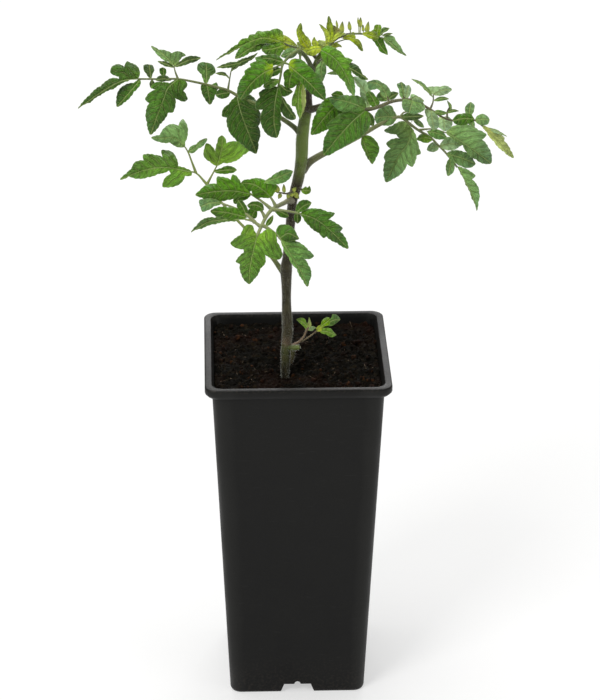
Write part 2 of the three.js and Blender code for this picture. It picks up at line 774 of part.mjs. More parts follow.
        rims: [
          [[350, 33.7], [356.3, 36], [356.5, 38.3], [361.5, 43.5]],
          [[350, 41], [356, 44.3], [360, 49.5]],
        ],
        lift: 1,
      },
      { rib: [[331, 45.5], [337, 44.5], [342.3, 47.7]], wide: 4.4 },
    ],
  },
  {
    name: 'shoot_tip',
    thick: [0.9, 0.8],
    stalk: [[326.8, 48.6, 2], [328, 45, 2.5], [328.5, 42, 3]],
    twigs: [
      [[328, 45], [320, 47], [310, 48]],
    ],
    leaflets: [
      {
        rib: [[309, 48], [302, 39], [298.5, 31], [301, 22.7]],
        rims: [
          [[301, 44.3], [297.3, 35], [296.7, 28]],
          [[309, 41], [304.3, 34.5], [301.7, 28.5], [302.3, 24]],
        ],
        back: 3,
      },
      {
        rib: [[320, 50], [312, 44], [305, 37]],
        rims: [[[309, 48.7], [303, 42]], [[319, 43], [314, 38.5], [309, 38]]],
        back: 2,
      },
      {
        rib: [[320, 49], [306, 51], [295.7, 51]],
        rims: [[[308, 46], [299, 45.5]], [[309, 56], [299, 55.5]]],
        back: -2,
      },
      {
        rib: [[328, 45], [325, 34], [318.7, 23.7]],
        rims: [[[325, 40], [324, 33], [321, 28]], [[331, 37], [328.3, 30.5], [323, 26]]],
        back: 3,
      },
      { rib: [[327, 46], [322, 42.3], [317, 43.5]], wide: 6, back: 1 },
      {
        rib: [[328.5, 45], [329.5, 30], [328.5, 15.7]],
        rims: [[[325.7, 36], [327, 26], [327.3, 20]], [[332.7, 36], [332, 27], [330.3, 20]]],
        back: 6,
      },
      {
        rib: [[330, 43], [335, 33], [337.5, 24]],
        rims: [[[331, 35], [333, 26]], [[337, 39], [340.5, 33], [340, 27.5]]],
        back: 6,
        lift: -1,
      },
    ],
  },
  {
    name: 'shoot_at_foot',
    thick: [1.15, 0.6],
    stalk: [[287, 351, -15.2], [293, 346, -15], [300, 341, -14.5], [306, 334, -14], [309, 328, -13.5]],
    twigs: [
      [[296, 345], [305, 340], [314, 333.5], [320, 329], [325, 326]],
    ],
    leaflets: [
      {
        rib: [[308, 328], [303, 322], [296.7, 319.5]],
        rims: [[[303, 326.5], [297.5, 322.3]], [[307, 324], [304, 319], [299.5, 317.7]]],
      },
      { rib: [[309.3, 329], [309.5, 323], [309.5, 317.3]], wide: 3.6 },
      { rib: [[308, 330], [312, 327], [316, 328]], wide: 5 },
      {
        rib: [[319, 328.5], [325, 322.5], [331, 318.3]],
        rims: [[[321, 321], [325, 317.5]], [[326, 326.5], [331.3, 323]]],
        lift: 0.5,
      },
      {
        rib: [[326, 326], [332, 320.5], [340.3, 319]],
        rims: [[[331, 314.7], [336, 314.7]], [[330.7, 326], [336, 322.5]]],
      },
      {
        rib: [[317, 331], [326, 331], [336.3, 335.3]],
        rims: [[[321, 326.5], [329, 327.5], [333, 330.7]], [[322, 333], [329, 337]]],
        lift: 1,
      },
    ],
  },
];

// The flower trusses. stalk: column, row, depth. buds: root, tip and radius.
const TRUSSES = [
  {
    name: 'flower_buds_middle',
    stalk: [[295.5, 190, -3.3], [291, 192, -9], [286, 193.5, -10.5], [280, 193, -11]],
    thick: [0.7, 0.45],
    buds: [
      [[284, 193], [283.3, 184], 1.3], [[281, 193], [276, 186.5], 1.9], [[280.5, 193], [278.5, 199], 1.4],
      [[287.5, 193], [287.5, 197.5], 1], [[290, 192], [296, 186.5], 1.9], [[290, 192], [298.5, 197], 1.8],
    ],
  },
  {
    name: 'flower_buds_side',
    stalk: [[296.5, 187, -3.2], [300, 188.5, -7.5], [303.5, 190, -7.5]],
    thick: [0.7, 0.55],
    buds: [[[301, 190], [311, 192], 2.1], [[303, 189], [310.5, 186.3], 1.7]],
  },
  {
    name: 'flower_buds_top',
    stalk: [
      [319.5, 59, 1.6], [323, 53, 10], [329, 45.5, 15], [337, 37.5, 18], [346, 34, 20], [356, 32.5, 22],
      [367, 33, 24],
    ],
    thick: [0.55, 0.4],
    buds: [
      [[339, 36.5], [336, 19.7], 1], [[341, 35.7], [342, 21], 1.9], [[351, 33.3], [349.3, 20.7], 1.5],
      [[359, 33], [357.7, 16.7], 0.8], [[361, 33], [361.3, 17.3], 1.7], [[366.5, 33], [368.5, 21.7], 1.9],
    ],
  },
];

const FINISH = {
  pot: { color: 0x242523, roughness: 0.52, metalness: 0 },
  soil: { color: 0x241a13, roughness: 0.96, metalness: 0 },
  stem: { color: 0x4c4f2b, roughness: 0.6, metalness: 0 },
  leaf: { color: 0x3f7a2c, roughness: 0.55, metalness: 0 },
  young: { color: 0x93aa2c, roughness: 0.5, metalness: 0 },
};

// View geometry

const radians = THREE.MathUtils.degToRad;
const viewBack = new THREE.Vector3(
  Math.sin(radians(VIEW_AZIMUTH)) * Math.cos(radians(VIEW_ELEVATION)),
  -Math.cos(radians(VIEW_AZIMUTH)) * Math.cos(radians(VIEW_ELEVATION)),
  Math.sin(radians(VIEW_ELEVATION)),
);
const viewEye = VIEW_AIM.clone().addScaledVector(viewBack, VIEW_DISTANCE);
const viewAhead = viewBack.clone().negate();
const viewRight = viewAhead.clone().cross(new THREE.Vector3(0, 0, 1)).normalize();
const viewUp = viewRight.clone().cross(viewAhead);
viewRight.applyAxisAngle(viewBack, radians(VIEW_ROLL));
viewUp.applyAxisAngle(viewBack, radians(VIEW_ROLL));

// The sight line of a place in the picture, as a direction.
function sightLine(column, row) {
  return viewAhead.clone()
    .addScaledVector(viewRight, (column - PICTURE_MIDDLE[0]) / VIEW_FOCAL)
    .addScaledVector(viewUp, (PICTURE_MIDDLE[1] - row) / VIEW_FOCAL);
}

// The point on that sight line that lies depth millimetres behind the pot's middle.
function seen(column, row, depth) {
  const line = sightLine(column, row);
  return viewEye.clone().addScaledVector(line, (depth - viewEye.y) / line.y);
}

// Solids

function solidOf(geometry) {
  const bare = geometry.index ? geometry.clone() : mergeVertices(geometry);
  bare.deleteAttribute('normal');
  bare.deleteAttribute('uv');
  const merged = mergeVertices(bare, 1e-4);
  return new wasm.Manifold(new wasm.Mesh({
    numProp: 3,
    vertProperties: new Float32Array(merged.attributes.position.array),
    triVerts: new Uint32Array(merged.index.array),
  }));
}

function solidFrom(points, faces) {
  const geometry = new THREE.BufferGeometry().setFromPoints(points);
  geometry.setIndex(faces.flat());
  const solid = solidOf(geometry);
  if (solid.volume() >= 0) return solid;
  geometry.setIndex(faces.map(([a, b, c]) => [a, c, b]).flat());
  return solidOf(geometry);
}

// A closed body through rings of equally many points, with a fan on each end.
function loft(rings) {
  const count = rings[0].length;
  const points = rings.flat();
  const faces = [];
  for (let ring = 0; ring + 1 < rings.length; ring++) {
    for (let i = 0; i < count; i++) {
      const a = ring * count + i;
      const b = ring * count + (i + 1) % count;
      faces.push([a, b, b + count], [a, b + count, a + count]);
    }
  }
  for (const last of [0, rings.length - 1]) {
    const middle = rings[last].reduce((sum, p) => sum.add(p), new THREE.Vector3()).divideScalar(count);
    points.push(middle);
    for (let i = 0; i < count; i++) {
      const a = last * count + i;
      const b = last * count + (i + 1) % count;
      faces.push(last === 0 ? [b, a, points.length - 1] : [a, b, points.length - 1]);
    }
  }
  return solidFrom(points, faces);
}

// A square ring with rounded corners, level at height z unless z is a function.
function squareRing(half, corner, z, steps = 3) {
  const ring = [];
  for (let quarter = 0; quarter < 4; quarter++) {
    for (let step = 0; step <= steps; step++) {
      const angle = (quarter + step / steps) * Math.PI / 2;
      const out = half - corner;
      const x = out * Math.sign(Math.cos((quarter + 0.5) * Math.PI / 2)) + corner * Math.cos(angle);
      const y = out * Math.sign(Math.sin((quarter + 0.5) * Math.PI / 2)) + corner * Math.sin(angle);
      ring.push(new THREE.Vector3(x, y, typeof z === 'function' ? z(x, y) : z));
    }
  }
  return ring;
}

// A round limb through points, each with its own radius.
function limb(points, radii, sides, perSpan = 1) {
  const curve = new THREE.CatmullRomCurve3(points, false, 'centripetal');
  const count = (points.length - 1) * perSpan;
  const frames = curve.computeFrenetFrames(count, false);
  const rings = [];
  for (let i = 0; i <= count; i++) {
    const u = i / count;
    const t = curve.getUtoTmapping(u);
    const place = curve.getPoint(t);
    const station = Math.min(t * (points.length - 1), points.length - 1 - 1e-9);
    const near = Math.floor(station);
    const radius = THREE.MathUtils.lerp(radii[near], radii[near + 1], station - near);
    const ring = [];
    for (let side = 0; side < sides; side++) {
      const angle = side / sides * Math.PI * 2;
      ring.push(place.clone()
        .addScaledVector(frames.normals[i], Math.cos(angle) * radius)
        .addScaledVector(frames.binormals[i], Math.sin(angle) * radius));
    }
    rings.push(ring);
  }
  return loft(rings);
}

function taperedLimb(points, thick) {
  const radii = points.map((_, i) => THREE.MathUtils.lerp(thick[0], thick[1], i / (points.length - 1)));
  return limb(points, radii, LIMB_SIDES);
}

// The largest closed piece of a solid, with the hollows that joining sealed filled.
function largestPiece(solid) {
  const pieces = solid.decompose().sort((a, b) => b.volume() - a.volume());
  return pieces[0];
}

// Steady noise between -1 and 1 for the soil's crumbs.
function crumb(x, y) {
  const wave = Math.sin(x * 0.93 + y * 0.37) + Math.sin(y * 1.21 - x * 0.52 + 1.7)
    + Math.sin(x * 0.41 + 2.3) * Math.cos(y * 0.47 - 0.6);
  return wave / 3;
}

// Pot

function wallHalf(z) {
  return THREE.MathUtils.lerp(WALL_FOOT_HALF, WALL_TOP_HALF, z / (POT_HEIGHT - RIM_SKIRT));
}

function notchSolid() {
  const outline = new THREE.Shape();
  outline.moveTo(-NOTCH_FOOT_HALF, -1);
  outline.lineTo(NOTCH_FOOT_HALF, -1);
  outline.lineTo(NOTCH_TOP_HALF, NOTCH_HEIGHT);
  outline.lineTo(NOTCH_BUMP, NOTCH_HEIGHT);
  outline.absarc(0, NOTCH_HEIGHT, NOTCH_BUMP, 0, Math.PI, false);
  outline.lineTo(-NOTCH_TOP_HALF, NOTCH_HEIGHT);
  const depth = WALL_FOOT_HALF * 3;
  const geometry = new THREE.ExtrudeGeometry(outline, { depth, bevelEnabled: false, curveSegments: 3 });
  geometry.translate(0, 0, -depth / 2);
  geometry.rotateX(Math.PI / 2);
  return geometry;
}

function buildPot() {
  const skirtFoot = POT_HEIGHT - RIM_SKIRT;
  const body = loft([
    squareRing(wallHalf(0) - 0.8, WALL_CORNER - 1, 0),
    squareRing(wallHalf(1.5), WALL_CORNER, 1.5),
    squareRing(wallHalf(skirtFoot), WALL_CORNER, skirtFoot),
    squareRing(RIM_HALF - 1.3, RIM_CORNER, skirtFoot + 0.01),
    squareRing(RIM_HALF, RIM_CORNER, skirtFoot + 2.2),
    squareRing(RIM_HALF, RIM_CORNER, POT_HEIGHT - 1),
    squareRing(RIM_HALF - 0.6, RIM_CORNER, POT_HEIGHT),
  ]);
  const inside = loft([
    squareRing(wallHalf(FLOOR_TOP) - WALL_THICK, WALL_CORNER - 1, FLOOR_TOP),
    squareRing(wallHalf(skirtFoot) - WALL_THICK, WALL_CORNER - 1, POT_HEIGHT - 2.4),
    squareRing(RIM_HALF - LIP_WIDTH, RIM_CORNER - 1, POT_HEIGHT + 0.1),
  ]);
  const underFloor = loft([
    squareRing(wallHalf(0) - 0.8 - WALL_THICK, WALL_CORNER - 1.5, -1),
    squareRing(wallHalf(FLOOR_UNDER) - WALL_THICK, WALL_CORNER - 1.5, FLOOR_UNDER),
  ]);
  const underLip = loft([
    squareRing(RIM_HALF - 2.4, RIM_CORNER - 1, skirtFoot - 1),
    squareRing(RIM_HALF - 1.3, RIM_CORNER - 1, skirtFoot + 2.2),
    squareRing(RIM_HALF - 1.3, RIM_CORNER - 1, POT_HEIGHT - 1.3),
  ]).subtract(loft([
    squareRing(wallHalf(skirtFoot) + 0.02, WALL_CORNER, skirtFoot - 2),
    squareRing(wallHalf(skirtFoot) + 0.02, WALL_CORNER, POT_HEIGHT),
  ]));
  const notch = notchSolid();
  let pot = body.subtract(inside).subtract(underFloor).subtract(underLip)
    .subtract(solidOf(notch)).subtract(solidOf(notch.clone().rotateZ(Math.PI / 2)));
  for (const [x, y] of [[0, 0], [1, 1], [1, -1], [-1, 1], [-1, -1]]) {
    const drain = new THREE.CylinderGeometry(DRAIN_RADIUS, DRAIN_RADIUS, 8, 10);
    drain.rotateX(Math.PI / 2);
    drain.translate(x * DRAIN_SPREAD, y * DRAIN_SPREAD, FLOOR_TOP);
    pot = pot.subtract(solidOf(drain));
  }
  return largestPiece(pot);
}

// Soil

const stemFoot = seen(...STEM_FOOT);

function soilHeight(x, y) {
  const away = Math.hypot(x - stemFoot.x, y - stemFoot.y) / SOIL_DIP_REACH;
  return SOIL_LEVEL + SOIL_LUMP * crumb(x, y) - SOIL_DIP * Math.exp(-away * away);
}

function buildSoil() {
  const inner = z => wallHalf(z) - WALL_THICK - GAP - 0.05;
  const bottom = FLOOR_TOP + GAP;
  const corner = WALL_CORNER - 1.2;
  const steps = 5;
  const rings = [
    squareRing(inner(bottom), corner, bottom, steps),
    squareRing(inner(SOIL_LEVEL) - 0.3, corner, soilHeight, steps),
  ];
  for (const share of [0.88, 0.74, 0.6, 0.46, 0.32, 0.18]) {
    rings.push(squareRing(inner(SOIL_LEVEL) * share, corner * share, soilHeight, steps));
  }
  const hole = new THREE.CylinderGeometry(
    STEM_FOOT_RADIUS + GAP, STEM_FOOT_RADIUS + GAP, PLANT_HOLE_DEPTH * 2, 16);
  hole.rotateX(Math.PI / 2);
  hole.translate(stemFoot.x, stemFoot.y, SOIL_LEVEL);
  return largestPiece(loft(rings).subtract(solidOf(hole)));
}

// Stem

function buildStem(grow = 0) {
  const foot = SOIL_LEVEL - PLANT_HOLE_DEPTH + GAP;
  const points = [
    new THREE.Vector3(stemFoot.x, stemFoot.y, foot),
    new THREE.Vector3(stemFoot.x, stemFoot.y, stemFoot.z),
    ...STEM.map(([column, row, depth]) => seen(column, row, depth)),
  ];
  const radii = [STEM_FOOT_RADIUS, STEM_FOOT_RADIUS, ...STEM.map(pick => pick[3])];
  return limb(points, radii.map(radius => radius + grow), STEM_SIDES);
}

const aroundStem = buildStem(GAP);

// Leaves

// The closest place on a line of picks: its share of the length and how far off it is.
function nearest(line, [x, y]) {
  let best = { share: 0, away: Infinity, place: line[0] };
  let before = 0;
  const spans = line.slice(1).map((p, i) => Math.hypot(p[0] - line[i][0], p[1] - line[i][1]));
  const whole = spans.reduce((sum, span) => sum + span, 0);
  spans.forEach((span, i) => {
    const [x0, y0] = line[i];
    const [x1, y1] = line[i + 1];
    const along = ((x - x0) * (x1 - x0) + (y - y0) * (y1 - y0)) / (span * span);
    const part = THREE.MathUtils.clamp(along, 0, 1);
    const place = [x0 + (x1 - x0) * part, y0 + (y1 - y0) * part];
    const away = Math.hypot(x - place[0], y - place[1]);
    const share = (before + span * part) / whole;
    if (away < best.away) best = { share, away, place, span: i, part };
    before += span;
  });
  return best;
}

// A rib's picks, evened out to a smooth line.
function smoothRib(rib) {
  const length = rib.slice(1).reduce((sum, p, i) => sum + Math.hypot(p[0] - rib[i][0], p[1] - rib[i][1]), 0);
  const curve = new THREE.SplineCurve(rib.map(([x, y]) => new THREE.Vector2(x, y)));
  const spans = THREE.MathUtils.clamp(Math.round(length / 13), 2, 4);
  return curve.getSpacedPoints(spans).map(p => [p.x, p.y]);
}

// The rims of a plain lance-shaped leaflet.
function plainRims(rib, wide) {
  return [1, -1].map(side => [0.25, 0.65].map((share, i) => {
    const at = share * (rib.length - 1);
    const near = Math.min(Math.floor(at), rib.length - 2);
    const [x0, y0] = rib[near];
    const [x1, y1] = rib[near + 1];
    const span = Math.hypot(x1 - x0, y1 - y0);
    const out = side * wide / 2 * [1, 0.85][i];
    return [
      x0 + (x1 - x0) * (at - near) - (y1 - y0) / span * out,
      y0 + (y1 - y0) * (at - near) + (x1 - x0) / span * out,
    ];
  }));
}

// How far behind its root each point of a leaflet lies.
function bladeDepth(leaflet, rib, [x, y]) {
  const { share, away, place } = nearest(rib, [x, y]);
  const rise = rib[0][1] - rib.at(-1)[1];
  const back = leaflet.back ?? rise * (rise > 0 ? RISE_BACK : DROOP_FORWARD);
  const length = Math.hypot(rib.at(-1)[0] - rib[0][0], rise) * 0.6;
  const lift = (leaflet.lift ?? 0) * Math.min(1, share / LIFT_SHARE);
  return back * share - lift - BLADE_ARCH * length * 4 * share * (1 - share)
    + BLADE_FOLD * 0.6 * away + BLADE_LEAN * (place[1] - y);
}

// A thin closed blade over its outline in the picture. Its root is narrow and starts
// inside the stalk, and both faces are split into the same triangles.
function bladeSolid(leaflet, from) {
  const rib = smoothRib(leaflet.rib);
  const rims = leaflet.rims ?? plainRims(rib, leaflet.wide);
  const ahead = new THREE.Vector2(rib[1][0] - from.place[0], rib[1][1] - from.place[1]).normalize();
  const reach = Math.hypot(rib[0][0] - from.place[0], rib[0][1] - from.place[1]);
  const stalked = reach > 1.5;
  const spine = stalked ? [from.place, ...rib] : [from.place, ...rib.slice(1)];
  const first = sideOf(spine, rims[0]);
  const outer = rims.map((rim, i) => {
    const out = (i === 0 ? first : -first) * ROOT_HALF;
    return stalked ? [[rib[0][0] - out * ahead.y, rib[0][1] + out * ahead.x], ...rim] : rim;
  });
  const flat = [...spine, ...outer[0], ...outer[1]];
  const tip = spine.length - 1;
  const starts = [spine.length, spine.length + outer[0].length];
  const rimIndex = outer.map((rim, i) => rim.map((_, k) => starts[i] + k));
  const faces = [];
  for (const side of [0, 1]) {
    const loop = [...spine.keys(), ...rimIndex[side].toReversed()];
    const half = earFaces(loop.map(i => flat[i])).map(face => face.map(i => loop[i]));
    const turned = (side === 0) === (first > 0);
    faces.push(...(turned ? half.map(face => face.toReversed()) : half));
  }
  const top = flat.map((p, i) => {
    const depth = i === 0 ? 0 : bladeDepth(leaflet, rib, p);
    return seen(...p, from.depth - BLADE_THICK / 2 + depth);
  });
  const normal = new THREE.Vector3();
  for (const [a, b, c] of faces) {
    normal.add(top[b].clone().sub(top[a]).cross(top[c].clone().sub(top[a])));
  }
  normal.normalize();
  const line = sightLine(...rib[0]).normalize();
  const through = line.clone().multiplyScalar(BLADE_THICK / Math.max(Math.abs(normal.dot(line)), 0.4));
  const under = flat.length;
  const back = faces.map(face => face.toReversed().map(i => i + under));
  const outline = [0, ...rimIndex[0], tip, ...rimIndex[1].toReversed()];
  if (first < 0) outline.reverse();
  const wall = outline.flatMap((a, i) => {
    const b = outline[(i + 1) % outline.length];
    return [[b, a, a + under], [b, a + under, b + under]];
  });
  return solidFrom([...top, ...top.map(p => p.clone().add(through))], [...faces, ...back, ...wall]);
}

// Splits a simple outline into triangles, the best shaped first, and leaves no point out.
function earFaces(outline) {
  const left = [...outline.keys()];
  const whole = outline.reduce(
    (sum, p, i) => sum + turnOf(outline[0], p, outline[(i + 1) % outline.length]), 0);
  const faces = [];
  while (left.length > 2) {
    let best = { score: -Infinity, at: 0 };
    left.forEach((_, at) => {
      const ear = [left.at(at - 1), left[at], left[(at + 1) % left.length]];
      const [a, b, c] = ear.map(k => outline[k]);
      const area = turnOf(a, b, c) * Math.sign(whole);
      const sides = [[a, b], [b, c], [c, a]];
      const long = Math.max(...sides.map(([p, q]) => Math.hypot(p[0] - q[0], p[1] - q[1])));
      const blocked = left.some(k => !ear.includes(k) && liesInside(outline[k], a, b, c));
      const score = area / (long * long) - (blocked || area <= 0 ? 10 : 0);
      if (score > best.score) best = { score, at };
    });
    faces.push([left.at(best.at - 1), left[best.at], left[(best.at + 1) % left.length]]);
    left.splice(best.at, 1);
  }
  return faces;
}

function liesInside(p, a, b, c) {
  const turns = [turnOf(a, b, p), turnOf(b, c, p), turnOf(c, a, p)];
  return turns.every(turn => turn >= 0) || turns.every(turn => turn <= 0);
}

// Twice the area of a triangle in the picture, positive when it turns clockwise there.
function turnOf(a, b, c) {
  return (b[0] - a[0]) * (c[1] - a[1]) - (b[1] - a[1]) * (c[0] - a[0]);
}

// The side of a line, 1 or -1, that most of a rim lies on.
function sideOf(line, rim) {
  const sum = rim.reduce((total, p) => total + turnOf(line[0], line.at(-1), p), 0);
  return Math.sign(sum);
}

// Where a leaflet or twig springs from: the nearest place on the stalks built so far.
function springFrom(stalks, pick) {
  let best = { away: Infinity };
  for (const stalk of stalks) {
    const found = nearest(stalk, pick);
    if (found.away >= best.away) continue;
    const depth = THREE.MathUtils.lerp(stalk[found.span][2], stalk[found.span + 1][2], found.part);
    best = { away: found.away, place: found.place, depth };
  }
  return best;
}

function buildLeaf(leaf) {
  const stalks = [leaf.stalk];
  const parts = [
    taperedLimb(leaf.stalk.map(pick => seen(...pick)), leaf.thick),
  ];
  for (const twig of leaf.twigs) {
    const from = springFrom(stalks, twig[0]);
    const picks = twig.map(([x, y]) => [x, y, from.depth + TWIG_LEAN * (twig[0][1] - y)]);
    stalks.push(picks);
    const thick = [leaf.thick[1] * 1.25, leaf.thick[1] * 0.8];
    parts.push(taperedLimb(picks.map(pick => seen(...pick)), thick));
  }
  for (const leaflet of leaf.leaflets) {
    parts.push(bladeSolid(leaflet, springFrom(stalks, leaflet.rib[0])));
  }
  return largestPiece(wasm.Manifold.union(parts).subtract(aroundStem));
}

// Flower buds

// A bud on its own thin stalk, from inside the truss stalk to its tip.
function budSolid(from, tip, radius) {
  const foot = seen(...from.place, from.depth);
  const end = seen(...tip, from.depth);
  const length = foot.distanceTo(end);
  const swell = THREE.MathUtils.clamp(1 - 4.2 * radius / length, 0.15, 0.6);
  const profile = [[0, 0], [0.32, 0.01], [0.36, swell], [1, swell + 0.35 * (1 - swell)], [0, 1]];
  const geometry = new THREE.LatheGeometry(
    profile.map(([out, along]) => new THREE.Vector2(out * radius, along * length)), LIMB_SIDES);
  const turn = new THREE.Quaternion().setFromUnitVectors(
    new THREE.Vector3(0, 1, 0), end.clone().sub(foot).normalize());
  geometry.applyQuaternion(turn);
  geometry.translate(foot.x, foot.y, foot.z);
  return solidOf(geometry);
}

function buildTruss(truss) {
  const parts = [taperedLimb(truss.stalk.map(pick => seen(...pick)), truss.thick)];
  for (const [root, tip, radius] of truss.buds) {
    parts.push(budSolid(springFrom([truss.stalk], root), tip, radius));
  }
  return largestPiece(wasm.Manifold.union(parts).subtract(aroundStem));
}

// Assembly

const plant = new THREE.Group();

function place(name, solid, finish) {
  const { numProp, vertProperties, triVerts } = solid.getMesh();
  const positions = new Float32Array(vertProperties.length / numProp * 3);
  for (let i = 0; i < positions.length / 3; i++) {
    positions.set(vertProperties.subarray(i * numProp, i * numProp + 3), i * 3);
  }
  const geometry = new THREE.BufferGeometry();
  geometry.setAttribute('position', new THREE.BufferAttribute(positions, 3));
  geometry.setIndex(Array.from(triVerts));
  geometry.computeVertexNormals();
  const mesh = new THREE.Mesh(geometry, new THREE.MeshStandardMaterial(finish));
  mesh.name = name;
  plant.add(mesh);
}

place('pot', buildPot(), FINISH.pot);
place('soil', buildSoil(), FINISH.soil);
place('stem', buildStem(), FINISH.stem);
for (const leaf of LEAVES) {
  place(leaf.name, buildLeaf(leaf), leaf.name.startsWith('shoot') ? FINISH.young : FINISH.leaf);
}
for (const truss of TRUSSES) {
  place(truss.name, buildTruss(truss), FINISH.young);
}

export default plant;
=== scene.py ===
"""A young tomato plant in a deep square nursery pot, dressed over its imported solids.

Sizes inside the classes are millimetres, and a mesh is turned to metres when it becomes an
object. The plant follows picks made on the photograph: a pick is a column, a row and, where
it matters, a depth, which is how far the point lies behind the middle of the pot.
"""

import logging
import math
import random
from dataclasses import dataclass, field
from enum import Enum
from typing import Any

import bpy
import numpy as np
from bpy.types import ID, Material, Node, NodeSocket, NodeTree, Object
from mathutils import Matrix, Vector, noise
from mathutils.geometry import delaunay_2d_cdt


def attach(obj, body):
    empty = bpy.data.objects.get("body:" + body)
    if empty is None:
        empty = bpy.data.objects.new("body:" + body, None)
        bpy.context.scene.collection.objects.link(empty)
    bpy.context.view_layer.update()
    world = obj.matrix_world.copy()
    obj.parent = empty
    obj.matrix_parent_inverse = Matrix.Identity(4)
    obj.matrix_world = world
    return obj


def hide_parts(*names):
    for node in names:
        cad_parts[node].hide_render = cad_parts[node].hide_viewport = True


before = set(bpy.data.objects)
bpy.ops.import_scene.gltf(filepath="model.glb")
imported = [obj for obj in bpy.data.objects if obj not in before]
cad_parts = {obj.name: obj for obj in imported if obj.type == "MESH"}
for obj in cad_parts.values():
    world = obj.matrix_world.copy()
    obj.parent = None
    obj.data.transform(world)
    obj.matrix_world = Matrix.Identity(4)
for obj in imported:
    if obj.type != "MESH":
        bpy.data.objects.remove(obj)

MM = 0.001
PICTURE = (600, 700)
WHITE = "#ffffff"
log = logging.getLogger("tomato")

Pick = tuple[float, ...]
Picks = list[Pick]


def linear(shade: str) -> tuple[float, float, float, float]:
    """Turns an sRGB hex colour to linear red, green, blue and alpha."""
    parts = [int(shade[i:i + 2], 16) / 255 for i in (1, 3, 5)]
    return (*(p / 12.92 if p <= 0.04045 else ((p + 0.055) / 1.055) ** 2.4 for p in parts), 1.0)


def colours(*shades: str) -> np.ndarray:
    """Returns the linear colours of sRGB hex colours, one row each."""
    return np.array([linear(shade) for shade in shades])


class Tint(Enum):
    """A leaflet's colours beside its root, over its blade and at its tip.

    The last number is the share of its length over which the root's colour gives way.
    """

    FOREST = ("#487a0a", "#356509", "#2e5e11", 0.32)
    DEEP = ("#55821f", "#406c1c", "#376321", 0.32)
    DULL = ("#678639", "#4f7033", "#446738", 0.32)
    MOSS = ("#5c910d", "#467a0c", "#3c7013", 0.32)
    MID = ("#69a228", "#518824", "#467d2a", 0.32)
    GRASS = ("#71ae0b", "#57930a", "#4b8711", 0.32)
    BLOOM = ("#86b049", "#699643", "#5a8a47", 0.32)
    LEAF = ("#88bb30", "#699e2f", "#5b9135", 0.32)
    SAGE = ("#96ca58", "#77ad50", "#669e54", 0.32)
    SILVER = ("#add772", "#8ab868", "#77a96a", 0.32)
    FRESH = ("#adde3c", "#8abe37", "#77af3c", 0.32)
    LIME = ("#c0ea0f", "#99c90e", "#84b914", 0.32)
    STRAW = ("#ecf27a", "#dcee8c", "#a6ba62", 0.6)
    YOUNG = ("#f2fb46", "#def446", "#93a82c", 0.6)
    GILDED = ("#abca1e", "#4d880f", "#3d751e", 0.3)
    TURNING = ("#c4e727", "#6ba127", "#457521", 0.36)
    BRIGHT = ("#f0f82e", "#b2cb1a", "#68881f", 0.5)
    SHADED = ("#73c20f", "#6ca727", "#7ab05f", 0.35)
    DUSKY = ("#e8f050", "#c6c65c", "#857e4c", 0.4)
    FROSTED = ("#cbe79e", "#b3d898", "#a8cf9c", 0.32)


@dataclass(frozen=True)
class Leaflet:
    """One blade: its rib from root to tip, and the two rims beside it or a plain width.

    lift brings it in front of its stalk beyond its root, and back sets its tip behind its
    root, both in millimetres.
    """

    tint: Tint
    rib: Picks
    rim: Picks = field(default_factory=list)
    other_rim: Picks = field(default_factory=list)
    wide: float = 0.0
    lift: float = 0.0
    back: float | None = None


@dataclass(frozen=True)
class Leaf:
    """A divided leaf: its stalk with depths, its side stalks and its leaflets.

    thick and shades are the stalk's radius and colour at its root and further out.
    """

    name: str
    thick: tuple[float, float]
    shades: tuple[str, str]
    stalk: Picks
    twigs: list[Picks]
    leaflets: list[Leaflet]


@dataclass(frozen=True)
class Bud:
    """A flower bud: where its thin stalk starts, its tip and its radius."""

    root: Pick
    tip: Pick
    radius: float


@dataclass(frozen=True)
class Truss:
    """A stalk with flower buds on it, and small leaflets that stand beside them."""

    name: str
    thick: tuple[float, float]
    stalk: Picks
    buds: list[Bud]
    bracts: list[Leaflet] = field(default_factory=list)


# The main stem: column, row, depth, radius, from the soil to the shoot tip
STEM = [
    (285.2, 366, -15.8, 2.45), (285.8, 350, -15.2, 2.75), (287.6, 330, -14.2, 3.05),
    (286.6, 308, -12.6, 2.75), (286.4, 285, -10.6, 2.85), (286.2, 269, -9, 3.45),
    (287.2, 257, -8, 2.75), (290.6, 222, -5.5, 2.8), (292.6, 201, -4, 2.75),
    (295.3, 190, -3.3, 3.1), (298, 180, -2.6, 3.2), (301.4, 160, -1.5, 3.5),
    (302.3, 138, -0.5, 3.6), (304.6, 120, 0, 3.3), (307.4, 108, 0.5, 2.8), (308.4, 92, 1, 2.1),
    (312, 76, 1.2, 1.75), (316.3, 64, 1.4, 1.95), (320.8, 56, 1.7, 1.9), (326.5, 49, 2, 1.1)]
STEM_FOOT = (285, 377, -16)
STEM_FOOT_RADIUS = 2.25
STEM_DEEP = 31.7

